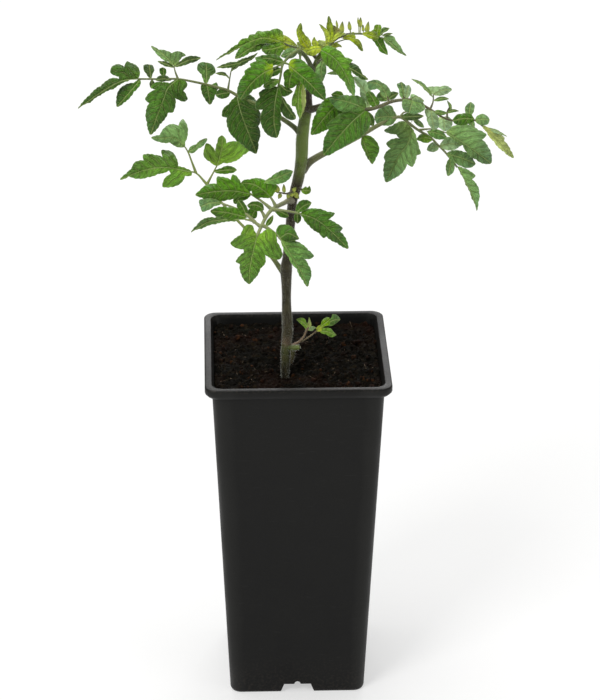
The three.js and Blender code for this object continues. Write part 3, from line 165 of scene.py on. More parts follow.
LEAF_UPPER_LEFT = Leaf("leaf_upper_left", (1.75, 0.55), ("#363d1c", "#616a3a"), [(303, 137, -0.5),
        (295, 128, 1.5), (281, 118, 5), (262, 107, 8), (240, 97, 11), (228, 90.5, 13),
        (206, 84.5, 15), (190, 81, 16), (178, 79, 17), (160, 79, 18.5), (138, 79, 20)], [[(178, 79),
        (175, 71), (174, 66)], [(228, 90), (229.5, 80), (231, 71)]], [
    Leaflet(Tint.DEEP, [(138, 79), (122, 81), (100, 93), (78, 109)], [(140, 74), (138, 67),
        (131, 63), (127, 61), (124.5, 67), (118, 64), (111.5, 67), (110.5, 73), (119, 76.5),
        (119, 79), (112, 78), (101, 86), (90, 95)], [(128, 81.5), (114, 89.5), (101, 95.5),
        (91, 103)]),
    Leaflet(Tint.MID, [(140, 80), (129, 93), (117, 107)], [(134, 83), (125, 85), (119, 90),
        (116.5, 99)], [(141, 83), (134, 91.5), (124, 102.5)]),
    Leaflet(Tint.DULL, [(151, 79), (150, 72), (149, 64.5)], [(146.5, 74), (143.5, 69), (143.5, 65)],
        [(152.5, 74), (154.5, 70), (152.5, 65)]),
    Leaflet(Tint.MID, [(164, 77), (163, 67.3)], [(159.5, 72), (159.5, 68.5)], [(166.5, 72.5),
        (166, 69)]),
    Leaflet(Tint.DULL, [(171, 80.5), (163, 78.5), (155.5, 80.5)], [(168, 76.3), (162, 75),
        (157, 77.5)], [(166, 81), (160, 81.5)]),
    Leaflet(Tint.DULL, [(152, 80), (151.5, 88.8)], [(149.3, 83.5)], [(155, 83.5)]),
    Leaflet(Tint.MID, [(178, 79), (168, 88), (163, 101), (157, 116), (150.5, 134.8)], [(170, 83.5),
        (162.5, 82.3), (155, 82.5), (150.5, 87.5), (156, 89.5), (151, 91.5), (145, 99.5),
        (149.5, 103), (146, 112), (147, 122)], [(184, 79.5), (187.5, 85), (183, 90.5),
        (187.6, 99.5), (185, 101.7), (175, 97.5), (175.5, 104), (172.5, 112.7), (168, 112.5),
        (160, 124)], lift=1),
    Leaflet(Tint.SILVER, [(174, 66), (166, 57), (151, 46)], [(169, 62), (160, 57), (155, 51.5)],
        [(179, 61), (182, 57), (186, 55.3), (182.6, 52.5), (178, 51), (172, 53.5), (167, 51),
        (159, 50)]),
    Leaflet(Tint.DULL, [(173, 68), (166, 64), (157.5, 61)], [(168, 62.3), (162, 61.3)], [(169, 67),
        (163, 65)]),
    Leaflet(Tint.DULL, [(175, 66.5), (188, 60.5), (201, 58)], [(181, 61), (187, 56.8), (193, 56)],
        [(183, 65.5), (190, 62.8), (198, 60.2)]),
    Leaflet(Tint.BLOOM, [(206, 84), (206.5, 76), (206, 62.5)], [(202, 74.5), (197, 69), (198, 64),
        (202, 62)], [(210, 76), (215.8, 72), (214.5, 67), (210, 63.3)]),
    Leaflet(Tint.DULL, [(229.5, 79), (223, 74), (215, 73.5)], [(224, 72), (219, 72)], [(224, 76),
        (219, 75.3)]),
    Leaflet(Tint.DEEP, [(207, 84), (208.5, 94), (210, 104.7)], [(201, 85), (201.5, 91),
        (204.5, 98)], [(212, 84.5), (216.5, 82.3), (218, 85), (215, 95)], lift=1),
    Leaflet(Tint.DEEP, [(230, 92.5), (222, 93.5), (215.5, 95)], [(227, 89.5), (221, 88.3),
        (217, 91)], [(228, 97), (221, 98.7), (217, 97)]),
    Leaflet(Tint.FOREST, [(237, 97), (241, 113), (248, 132), (256.5, 153.7)], [(229, 104.3),
        (223.5, 108.5), (222, 116.5), (227, 117.5), (228, 128), (234.5, 138), (243, 144.5),
        (251, 151.5)], [(248, 94), (255, 99), (259, 110), (260.7, 121), (258, 126), (260.3, 133),
        (258, 142), (257.7, 150)], lift=4),
    Leaflet(Tint.DULL, [(231, 72), (234, 66.5), (242, 61.5), (252, 58), (258, 52.5)], wide=4.4),
    Leaflet(Tint.DEEP, [(241, 63), (230, 65), (216.5, 67.6)], wide=5)])
LEAF_LOWER_RIGHT = Leaf("leaf_lower_right", (2.5, 0.6), ("#4b4630", "#7a8052"), [(302, 170, -1),
        (308, 163.3, 0), (320, 155.5, 4), (340, 146, 8), (358, 136.8, 12), (370, 129.8, 15),
        (380, 124.3, 17), (390, 119.5, 19), (400, 117, 21), (410, 124, 22), (418, 130, 23),
        (430, 137, 24), (438, 145, 24.5), (445, 152, 25), (457, 167, 26)], [[(418, 130), (433, 129),
        (447, 133)], [(400, 117), (404, 112.3), (412, 112.3)]], [
    Leaflet(Tint.LEAF, [(362, 137), (366, 149), (372, 164.3)], [(361, 141), (365, 152), (369, 160)],
        [(368, 135.3), (375, 140), (379.3, 149), (376, 157.5)]),
    Leaflet(Tint.SILVER, [(397, 117), (386, 116.5), (374.5, 118)], [(394, 111), (391, 105.5),
        (384, 106), (377, 111.5)], [(392, 124.5), (382, 125), (376, 122.5)]),
    Leaflet(Tint.DULL, [(401, 117), (412, 116.5), (424, 116)], [(404, 114), (413, 113.2),
        (420, 114.3)], [(405, 119.3), (413, 120.2), (420, 118.5)]),
    Leaflet(Tint.SILVER, [(413, 120), (419, 123), (424, 127.7)], [(418, 119.5), (422, 122.5)],
        [(416, 124.3), (420, 127)]),
    Leaflet(Tint.SILVER, [(411, 127), (409, 141), (399, 156), (386, 182.3)], [(403, 121),
        (393, 125.3), (384, 131), (396, 134), (400, 138.5), (390, 140), (386, 144), (391, 148.5),
        (385.5, 153), (383.7, 157.5), (385.3, 161), (383.7, 172)], [(417, 141), (419, 148),
        (420.7, 154), (416.5, 155.3), (412, 167), (407, 163.5), (404, 170.5), (393, 178.7)],
        lift=2),
    Leaflet(Tint.FRESH, [(433, 139.5), (425, 137.5), (416.5, 139.7)], [(428, 135), (421, 133.7)],
        [(427, 143), (421, 141.3)], lift=1),
    Leaflet(Tint.FROSTED, [(439, 146), (433, 147.5), (426.7, 149.8)], [(433, 142), (428.7, 145)],
        [(438, 150), (432, 152)], lift=1),
    Leaflet(Tint.FROSTED, [(440, 146), (450, 144), (463, 144.5)], [(444, 139.5), (449, 136.7),
        (456, 141)], [(446, 149.8), (453, 150), (459, 146.8)], lift=1),
    Leaflet(Tint.SILVER, [(446, 154), (460, 157.5), (475.7, 164)], [(454, 150.2), (463, 151.7),
        (470, 154.7), (473.5, 160)], [(456, 163.5), (461, 166), (467, 168), (473.3, 166.3)]),
    Leaflet(Tint.SILVER, [(450, 158), (450, 167), (448, 176.3)], [(446.8, 163), (446.2, 171)],
        [(454, 163), (454.7, 168), (452, 173.7)], lift=1),
    Leaflet(Tint.SILVER, [(457, 166), (466, 183), (473, 197), (476.5, 211)], [(460, 174),
        (465, 184.5), (471, 198.5)], [(463, 168), (470, 171.3), (475.7, 176), (471.7, 179.5),
        (477, 185), (479.2, 192.5), (478.2, 202)]),
    Leaflet(Tint.SILVER, [(446, 132), (462, 142), (476, 152), (491, 163.5)], [(450, 128),
        (460, 124.7), (469, 125), (478, 130), (486.7, 135), (481.7, 139.5), (488, 147),
        (491.7, 157)], [(463, 145), (466, 151.5), (476, 159.3), (484, 163.7)], back=3),
    Leaflet(Tint.SAGE, [(427, 131.5), (437, 133), (447, 138)], [(434, 129.5), (442, 131.5)],
        [(433, 137.5), (441, 139.5)], lift=1.5)])
LEAF_UPPER_RIGHT = Leaf("leaf_upper_right", (2.1, 0.55), ("#382b21", "#585539"), [(307.5, 109, 0.5),
        (313, 109, -2.5), (320, 106.5, -5), (335, 105, -9), (352, 108, -12), (366, 109.5, -14),
        (378, 107, -16), (392, 101.5, -17.5), (402, 100, -18.5), (412, 100, -19.5), (428, 108, -21),
        (436, 113, -22), (445, 118.5, -23), (458, 121, -24), (474, 120, -25.5), (484, 127, -27)],
        [[(430, 109.5), (433, 102), (433.5, 95)], [(389, 102.5), (387.5, 97), (385.5, 93)],
        [(404, 100), (403.5, 96)], [(447, 119), (447.5, 111), (449, 108)]], [
    Leaflet(Tint.GRASS, [(338, 103), (325, 117), (311, 134.7)], [(329, 97), (321, 104), (316, 114),
        (312.3, 126)], [(344, 109), (336, 122), (322, 131.7)], lift=1),
    Leaflet(Tint.GRASS, [(345, 99), (338, 94.8), (331, 94.7)], [(341, 91.5), (335, 91.5)],
        [(340, 98.5), (334, 97.5)], lift=1),
    Leaflet(Tint.SAGE, [(366, 109), (350, 102.5), (329, 97.7)], [(365, 102.5), (361, 97),
        (350, 95.8), (338, 96.3)], [(352, 111.5), (342, 111.5), (333, 105)], lift=3),
    Leaflet(Tint.MID, [(366, 110), (353, 121), (340, 135), (323.7, 154.7)], [(357, 110), (346, 112),
        (335, 118), (326, 126.3), (329, 130), (326, 135), (323.5, 146)], [(369, 115), (370.5, 124),
        (366, 132), (356, 139.5), (348, 143.5), (336, 150.5), (328, 155.5)], lift=6, back=-6),
    Leaflet(Tint.FOREST, [(367, 111), (370, 118), (373, 126.3)], [(366, 118), (369, 124.5)],
        [(371.5, 114), (374.7, 120.5)], lift=2),
    Leaflet(Tint.LEAF, [(377, 107.5), (373, 99), (368, 91.3)], [(372.5, 107), (367.3, 99),
        (366, 93.5)], [(380, 103), (375.7, 96.5), (371.3, 91.7)]),
    Leaflet(Tint.BLOOM, [(387, 100.5), (382, 96.5), (379.5, 92)], [(380, 101.3), (376.5, 96)],
        [(385, 95.5), (383, 92)]),
    Leaflet(Tint.SILVER, [(387, 99), (385, 92), (378, 84), (367.5, 82.3)], [(391, 94),
        (388.3, 87.3), (382, 82.7), (376, 79.8)], [(383.5, 97), (380, 90.5), (377, 88.5),
        (369.5, 89.7)]),
    Leaflet(Tint.DULL, [(388, 99.5), (392, 96), (398.7, 93)], [(389.5, 92.5), (395, 91.7)],
        [(391, 100), (396, 97)]),
    Leaflet(Tint.SILVER, [(404, 99.5), (403, 91), (401, 81.7)], [(400.5, 97), (399.3, 90),
        (397, 83.7), (399.3, 83)], [(408, 96), (406.7, 89), (403.7, 83.5)]),
    Leaflet(Tint.FROSTED, [(406, 99), (407, 92), (409, 85)], [(404.3, 92), (405, 86)], [(410.3, 94),
        (410.7, 87.5)]),
    Leaflet(Tint.SILVER, [(413, 100), (411, 106), (409, 112.8)], [(403, 99.5), (401.7, 104),
        (404, 110.3)], [(423.5, 103), (425, 109), (419, 112.8)], lift=2, back=-9),
    Leaflet(Tint.FROSTED, [(410, 100), (416, 97), (424.3, 101.3)], [(411.5, 94), (418, 96.5)],
        [(415, 102), (420, 102.5)]),
    Leaflet(Tint.SILVER, [(433.3, 98), (426, 89), (418, 82), (410.7, 78.8)], wide=4),
    Leaflet(Tint.FROSTED, [(433, 95), (441, 90.7), (452, 89.4)], [(427, 87.5), (434, 86.7),
        (440, 87), (444.5, 85.5)], [(438, 95.7), (445, 94.5)]),
    Leaflet(Tint.BLOOM, [(434, 100.7), (442, 98.3), (449.3, 99)], wide=4.4),
    Leaflet(Tint.BLOOM, [(448, 113), (451, 107), (446.7, 100)], wide=3.6),
    Leaflet(Tint.BLOOM, [(447, 113), (452, 110.5), (459.3, 111)], wide=3.6),
    Leaflet(Tint.BLOOM, [(434, 111), (441, 113), (448, 113)], wide=5),
    Leaflet(Tint.FROSTED, [(431, 109), (432, 118), (434, 130)], [(425, 109), (426.7, 117),
        (429.7, 126)], [(436, 114), (439, 120), (438, 128)], lift=1),
    Leaflet(Tint.FROSTED, [(443, 116), (444, 122), (444.5, 131)], [(439.5, 117), (437.3, 125)],
        [(449, 117), (452.5, 121.5), (450, 129)]),
    Leaflet(Tint.SILVER, [(469, 118), (469.5, 110), (471, 102)], [(465.3, 112.5), (465.7, 106)],
        [(474, 110), (474.7, 105.3)]),
    Leaflet(Tint.MOSS, [(475, 119), (464, 118.5), (452.7, 120.7)], [(471, 114.3), (462, 113.7),
        (456, 115.3)], [(468, 124), (460, 125.3), (455, 124)], lift=1),
    Leaflet(Tint.SILVER, [(475, 120), (482, 119), (489.7, 120)], [(478, 115.3), (484, 114),
        (488.3, 117)], [(477, 123.3), (483, 125.3), (488.3, 123.7)], lift=0.5),
    Leaflet(Tint.SILVER, [(469, 119.5), (472, 123.5), (474.3, 128.5)], wide=6, lift=1),
    Leaflet(Tint.STRAW, [(482, 125), (494, 137.5), (503, 146.5), (513.7, 158)], [(490, 129),
        (499, 134), (504.7, 138), (504, 141), (510.3, 150)], [(487, 132), (494, 141.3),
        (504, 151.5)]),
    Leaflet(Tint.FROSTED, [(485, 127.5), (496, 131), (507.5, 136.7)], wide=2.8),
    Leaflet(Tint.FROSTED, [(369, 108), (365, 92), (353, 77)], [(361.5, 98), (360.3, 88),
        (355, 81.5)], [(369.5, 98), (370, 88), (366, 81), (359.5, 77.5)], lift=-2)])
LEAF_LOWER_LEFT = Leaf("leaf_lower_left", (1.9, 0.7), ("#545b28", "#788641"), [(287, 277, -9),
        (280, 268, -6), (272, 257, 1), (262, 245, 9), (250, 233, 16), (238, 221, 22),
        (222, 203, 28), (207, 184.5, 33)], [[(207, 184.5), (196, 173), (189, 171.3)], [(196, 173),
        (191.5, 161), (188, 152), (185, 147)], [(207, 184.5), (212, 175), (217, 165.5)]], [
    Leaflet(Tint.LEAF, [(192, 172), (165, 167.5), (145, 170), (120, 179.7)], [(178, 166.5),
        (176.3, 158), (172, 151.8), (161.3, 150.3), (163, 157.5), (155, 155), (142.7, 155),
        (144, 160.5), (134.7, 162.3), (131.5, 169), (126.3, 173.5)], [(191.5, 175.7), (185, 175.5),
        (181, 183), (171, 187), (162.3, 186.7), (165, 178), (171, 174), (169, 170.3), (158, 173.7),
        (148, 177), (139, 178.7), (129, 176)], back=4),
    Leaflet(Tint.SILVER, [(185, 147), (175, 138), (164, 138), (151, 137.7)], [(185, 142),
        (187.7, 133), (186, 123), (183, 118.7), (180, 121.5), (178.5, 126), (172, 124),
        (165, 127.3), (160, 135.3)], [(180, 147.5), (170, 142.3), (160, 142), (155, 140.7)],
        back=3),
    Leaflet(Tint.SILVER, [(188, 152), (196, 147), (201, 142), (207.3, 138.5)], [(190, 147),
        (196, 144.7), (201, 140)], [(192, 153.5), (198, 148.5), (204.5, 144.3)]),
    Leaflet(Tint.FRESH, [(217, 166), (220, 156), (222, 146), (222, 135.2)], [(210, 161.7),
        (203.7, 156), (204.3, 149), (206.5, 143), (211.7, 146), (215.7, 153.5), (217.3, 143),
        (219, 137)], [(223, 162.7), (233, 161.7), (243, 155), (249.3, 150.3), (240, 142.7),
        (232, 141.3), (226.3, 143.5), (225, 138)], back=8),
    Leaflet(Tint.GRASS, [(214, 171.7), (226, 170), (237, 170)], [(221, 168.3), (229, 165.8),
        (234, 167.3)], [(222, 173.7), (229, 173.3), (235, 171.7)])])
LEAF_MIDDLE_FRONT = Leaf("leaf_middle_front", (1.75, 0.95), ("#83776a", "#868f5e"),
        [(292.5, 201, -4), (290, 200, -9), (284, 203, -14), (278, 206, -19), (272, 209.5, -24),
        (266, 217, -30), (261, 227, -36), (257, 236, -40)], [[(272, 209.5), (260, 200),
        (250, 193.5)], [(276, 207), (273, 201), (270, 196.5)], [(261, 227), (253, 221.3),
        (245, 219.3)], [(255, 222.5), (246, 214), (238, 209.3), (222, 203.3)], [(262, 225),
        (270, 229.5), (276, 234), (281, 240)], [(272, 209.5), (286, 211), (295, 212.5), (301, 214)],
        [(265, 218), (262, 212), (259, 208.5)]], [
    Leaflet(Tint.LEAF, [(257, 236), (253, 252), (250, 268), (249, 284.3)], [(254.3, 231),
        (252, 225), (246, 225), (241, 235), (230.3, 243.5), (237, 248.3), (243.5, 249),
        (244, 252.5), (235.7, 262), (240, 264), (241.3, 274), (245.7, 281.7)], [(262, 233),
        (268, 228.7), (275.3, 233), (276.7, 242), (282.5, 255.5), (280, 259.3), (272, 258.3),
        (264.5, 254), (265.3, 263), (260.3, 268.3), (254, 279)], lift=1),
    Leaflet(Tint.GRASS, [(251, 194.3), (235, 191), (215, 191.5), (195.3, 195)], [(246, 189),
        (241, 183.5), (235, 175), (232.5, 174.3), (231, 180), (217, 176.7), (217, 184),
        (208, 184.5), (200, 190.3)], [(238, 196.7), (228, 199.7), (214, 200.3), (202, 197.7)],
        back=-4),
    Leaflet(Tint.GRASS, [(271, 197.3), (263, 190), (254, 184.5), (241, 182.7)], [(275, 191),
        (277, 185), (266, 181), (259, 178.3), (250, 179.5), (243, 180.5)], [(262, 197.3),
        (254, 197.3), (251.7, 190.5), (248.5, 192.5), (242.5, 188)], lift=1, back=4),
    Leaflet(Tint.SAGE, [(264, 182.5), (277, 177.7), (293, 171)], [(271, 177.3), (278, 172.3),
        (288, 169.5)], [(270, 183.5), (280, 183.5), (287, 180.7), (291.7, 174.5)]),
    Leaflet(Tint.BLOOM, [(246, 219.5), (225, 219.7), (208, 222.3), (191, 232.7)], [(235, 217),
        (215, 217.7), (203, 219.3), (196.7, 225.5)], [(235, 222), (216, 224.5), (202, 229.3)],
        back=-3),
    Leaflet(Tint.GRASS, [(247, 217.5), (228, 212.7), (210.3, 211)], [(240, 210.3), (228, 207.3),
        (217, 207.7)], [(238, 219.5), (226, 219), (214.5, 215.3)], lift=1.5),
    Leaflet(Tint.SILVER, [(222, 203.3), (210, 203), (200.5, 207)], [(214, 199), (205, 199),
        (199, 200.3)], [(214, 206), (207.5, 210.3), (202, 211.7)]),
    Leaflet(Tint.MOSS, [(264, 209.5), (256, 205), (247, 205.3)], [(262, 203.3), (256, 201.3),
        (250, 202.7)], [(260, 211), (253, 210), (249, 208)], lift=1),
    Leaflet(Tint.GRASS, [(256, 210), (253, 214), (251, 219.7)], [(249, 209), (246, 215)],
        [(257.3, 211.5), (256, 218)], lift=1),
    Leaflet(Tint.MOSS, [(246, 215), (243, 207.5), (238, 200)], [(240, 212), (236.7, 205)],
        [(248, 211.5), (245.3, 204.5), (241, 200)], lift=1),
    Leaflet(Tint.GRASS, [(251, 194.7), (241, 196.7), (233.7, 203.3)], [(242, 193.5), (236, 196.3),
        (233, 200)], [(246, 199.7), (240, 200.7), (236, 204.3)], lift=-1),
    Leaflet(Tint.SAGE, [(281, 240), (292, 257), (300, 270), (307.5, 286.8)], [(283, 247),
        (289, 257), (292, 264), (297, 268.7), (303, 280.3)], [(291, 240.3), (301, 243.7),
        (308, 250), (314, 256.3), (311, 258.7), (304, 258.5), (308.3, 265), (311.3, 273),
        (309.3, 281)], lift=1),
    Leaflet(Tint.MID, [(279, 239), (288, 233.5), (299.3, 238.8)], [(276, 231.5), (279, 225.3),
        (286, 224.7), (293, 228), (296.7, 234.5)], [(284, 241.3), (292, 240.5)]),
    Leaflet(Tint.MID, [(300, 213.7), (315, 219), (328, 228.5), (348.3, 248.7)], [(305, 210.3),
        (317, 208.7), (327, 212), (335, 213.3), (328, 219.5), (336, 223.3), (342.8, 228.5),
        (340, 231.7), (346.3, 240)], [(303.3, 218), (309, 225.3), (319, 232.7), (324, 238.3),
        (326.5, 236.3), (337, 242.7)], back=5),
    Leaflet(Tint.MID, [(296, 213), (303, 206.3), (311.7, 202.7)], [(296, 207), (300, 201),
        (308, 200.2)], [(303, 211), (309.3, 206.7)]),
    Leaflet(Tint.MOSS, [(296.5, 212), (297.5, 218), (297.5, 223.8)], [(294.2, 215), (294.7, 221)],
        [(301.3, 216.5), (300.7, 221)]),
    Leaflet(Tint.MOSS, [(274, 209.7), (282, 212.5), (289, 216)], [(281, 209.3), (286, 211.5)],
        [(277, 214.3), (282, 217.5), (287, 218)]),
    Leaflet(Tint.GRASS, [(266, 226), (270, 221), (273.3, 215)], wide=5.4)])
LEAF_APEX_FRONT = Leaf("leaf_apex_front", (1.6, 0.6), ("#433d2a", "#64763a"), [(313, 74, 1.2),
        (308, 60, -4), (299, 51, -9), (290, 56, -14), (283, 64, -18), (280.5, 76, -20),
        (278, 88, -21)], [[(283, 64), (278, 66), (272, 69)], [(284, 63), (288, 64), (292, 67)],
        [(300, 51.5), (300, 68), (299, 86)]], [
    Leaflet(Tint.FOREST, [(278, 87), (275, 103), (274, 122), (277, 137.7)], [(269, 87.3),
        (258.7, 93.3), (260, 97.5), (255.3, 103), (256, 109.3), (263, 109.3), (260.8, 119),
        (263.3, 129), (269, 135.7)], [(281.3, 96), (279.5, 108), (280.5, 121), (279.5, 131.3)]),
    Leaflet(Tint.DEEP, [(279, 89), (285, 104), (295.7, 119)], [(282, 96.5), (286.5, 103),
        (292.5, 111), (296, 117)], [(279.7, 105), (282, 113), (287.3, 118.7), (293.3, 120)],
        lift=-1),
    Leaflet(Tint.LEAF, [(280, 80), (272, 82), (263.5, 87.5)], [(273, 78.7), (266, 80)], [(275, 86),
        (268, 88.7)]),
    Leaflet(Tint.FOREST, [(279.5, 84), (286, 90), (293, 91.7)], [(284, 86.5), (289.5, 88.5)],
        [(280.3, 91), (283, 96.7), (289.5, 94.5)]),
    Leaflet(Tint.GILDED, [(273, 68.5), (262, 74), (250, 85), (240, 99.3)], [(271, 60), (262, 56.7),
        (255, 57.7), (256.5, 61.3), (249.7, 64.3), (251, 67), (244.3, 71.5), (245, 74.5),
        (238.7, 85), (237.3, 94)], [(271, 78), (263, 84.5), (253, 89.3), (247, 96)]),
    Leaflet(Tint.GILDED, [(288, 65), (296, 71.5), (306, 80), (316, 90), (325, 100)], [(291, 59.7),
        (297, 58.7), (303, 60.7), (308, 66), (314, 71.7), (320, 78.5), (323.3, 84.5), (325.4, 92)],
        [(289, 69.5), (293.5, 75), (299.5, 79.5), (303.7, 85.3), (308, 90.3), (313, 94.5),
        (319, 97.7)], lift=1.5),
    Leaflet(Tint.GRASS, [(293, 70), (290, 79), (289, 88.6)], [(286.5, 69.5), (283.5, 73),
        (284.6, 80), (284.4, 86)], [(299, 75), (300, 81), (296.5, 85), (293, 87.8)], lift=-0.5),
    Leaflet(Tint.FRESH, [(300.5, 79), (299, 90), (298.3, 104), (300, 119)], [(297, 84),
        (295.8, 88.5), (294.3, 93), (292.5, 97), (291.7, 102), (292, 106), (295.6, 106.4),
        (296.6, 110.5), (298, 115.5)], [(304, 85), (303.4, 97), (302.8, 106), (301.8, 113)],
        lift=-1),
    Leaflet(Tint.STRAW, [(303, 83), (303.7, 97), (303, 108), (300.6, 118)], wide=3.6, lift=-0.4),
    Leaflet(Tint.MOSS, [(284, 62.5), (270, 58.5), (256, 58)], [(278, 55.5), (266, 55)], [(276, 65),
        (264, 64)], lift=-2.5),
    Leaflet(Tint.SILVER, [(298, 51), (289, 53.5), (280.5, 56.5)], wide=10.5, lift=-2),
    Leaflet(Tint.FOREST, [(281, 69), (274, 71.5), (268, 77)], wide=9, lift=-1)])
LEAF_APEX_LEFT = Leaf("leaf_apex_left", (1.1, 0.55), ("#3a2c25", "#4e5c2a"), [(318.5, 60, 1.5),
        (311, 53, 7), (302, 49, 11), (292, 46.5, 14), (282, 43, 17), (270, 40, 20)], [], [
    Leaflet(Tint.TURNING, [(283, 42), (264, 38), (245, 44), (216, 60.7)], [(282, 31), (276, 28.5),
        (270, 31), (263, 31.7), (257, 31.3), (255, 34.3), (249, 35.3), (248, 38.3), (241.3, 39.3),
        (238, 44.3), (227, 52.5)], [(270, 44), (255, 46), (242, 48), (230, 54.5)], back=6),
    Leaflet(Tint.LEAF, [(270, 41), (253, 47), (235, 58.7)], [(258, 41), (246, 43.7), (237.5, 51.5)],
        [(262, 48.3), (250, 52), (242, 57)], lift=1.5, back=-3),
    Leaflet(Tint.TURNING, [(285, 45), (274, 48.5), (261.7, 50)], [(274, 42.5), (264, 44.5)],
        [(279, 56.5), (268, 55)], lift=1, back=-2),
    Leaflet(Tint.YOUNG, [(278, 43), (287, 41.7), (298.3, 47)], [(283, 34.7), (287, 36.3),
        (291, 39.3), (295, 43)], [(283, 50), (291, 50)])])
LEAF_APEX_RIGHT = Leaf("leaf_apex_right", (1.1, 0.5), ("#3c3026", "#56632e"), [(317, 63, 1.4),
        (322, 60, -4), (324, 55, -8), (326, 52, -11)], [[(324, 56), (322.5, 60), (321, 64)],
        [(326, 52), (338, 61), (347, 69)]], [
    Leaflet(Tint.SHADED, [(321, 50), (334, 58), (346, 75), (354, 96.5)], [(327, 45.5), (337, 49.5),
        (342, 53.3), (345, 57.5), (352.8, 60.3), (348.7, 64), (351.3, 74), (354.8, 88)], [(322, 58),
        (328, 66.5), (335.5, 71.5), (345, 81.7), (351, 93.3)], lift=1),
    Leaflet(Tint.FOREST, [(346, 66), (357, 72), (368.3, 79.7)], [(351, 62.7), (356, 64.5),
        (362.3, 74.5)], [(351, 70), (358, 76.5), (363, 79.8)], lift=-1),
    Leaflet(Tint.SILVER, [(343, 73), (335, 72.7), (326.7, 73.7)], wide=4),
    Leaflet(Tint.SILVER, [(323.3, 60), (321, 70), (322.7, 81.7)], [(319, 63.5), (315.8, 69),
        (315.6, 73.5), (318.4, 76.2), (321, 79.7)], [(325.4, 64), (326.4, 69), (325.2, 75),
        (323.9, 79)], lift=0.5)])
LEAF_APEX_BACK_RIGHT = Leaf("leaf_apex_back_right", (0.9, 0.5), ("#3c3026", "#5c6a34"),
        [(321.5, 56, 1.8), (327, 50, 6), (331, 44, 8.5), (338, 38, 11), (346, 35.5, 13.5),
        (357, 33.7, 16), (366, 34.5, 18.5), (376, 37, 20.5), (384, 38.5, 21.5)], [[(329, 46),
        (334, 43.6), (339.5, 41.2), (346, 39.3)]], [
    Leaflet(Tint.SILVER, [(383, 38), (391, 43.5), (398, 50), (406.5, 56.2)], [(386, 35.5),
        (391, 35.3), (394.5, 37), (395.7, 40.5), (398.5, 44), (402.5, 51.3)], [(384.5, 41),
        (390, 46), (396, 50.5), (402, 54)]),
    Leaflet(Tint.GRASS, [(376, 38), (380.5, 46), (387.7, 55)], [(371, 37.3), (374.5, 42), (378, 47),
        (380.5, 52), (384, 53.6)], [(383, 38.5), (384.3, 42.5), (386, 47.5), (387.5, 51)],
        lift=0.5),
    Leaflet(Tint.LIME, [(377, 37), (377.7, 30), (378.5, 24.6)], [(370, 32), (374, 29.3),
        (374.2, 26), (376, 24.5)], [(383, 34), (381, 30), (381.7, 27.3), (380.5, 24.7)]),
    Leaflet(Tint.BLOOM, [(380, 35), (385, 30.5), (389.7, 28)], [(382, 28.3), (384, 27),
        (387, 27.6)], [(384, 32.5), (387, 31.3)]),
    Leaflet(Tint.DEEP, [(382, 36), (387, 34.4), (393, 33.3)], wide=3),
    Leaflet(Tint.BRIGHT, [(361.5, 34), (369, 35), (379, 37.8)], [(365, 31.9), (370, 31.3),
        (375, 31.5)], [(366, 36.5), (371, 38.9), (376, 41)]),
    Leaflet(Tint.BRIGHT, [(342, 38.3), (351, 37.7), (358.5, 42), (363.3, 51.3)], [(346, 35.7),
        (351, 34.3), (354.7, 34.6), (356, 37.3), (354.8, 38.5), (358.5, 39.3), (361.3, 43),
        (362.5, 47.5)], [(345, 40.2), (351, 41.3), (354.5, 44.3), (358.3, 48.7), (361, 51.2)],
        lift=1),
    Leaflet(Tint.YOUNG, [(331, 45.6), (337, 44.9), (342.3, 47.4)], [(334, 43.6), (337, 42.2),
        (338.3, 43.6), (340.6, 44.9)], [(333, 48.4), (336, 48), (338.7, 46.7)]),
    Leaflet(Tint.YOUNG, [(355, 33.6), (352.5, 32.8), (351.3, 34.3)], wide=2.6, lift=0.4)])
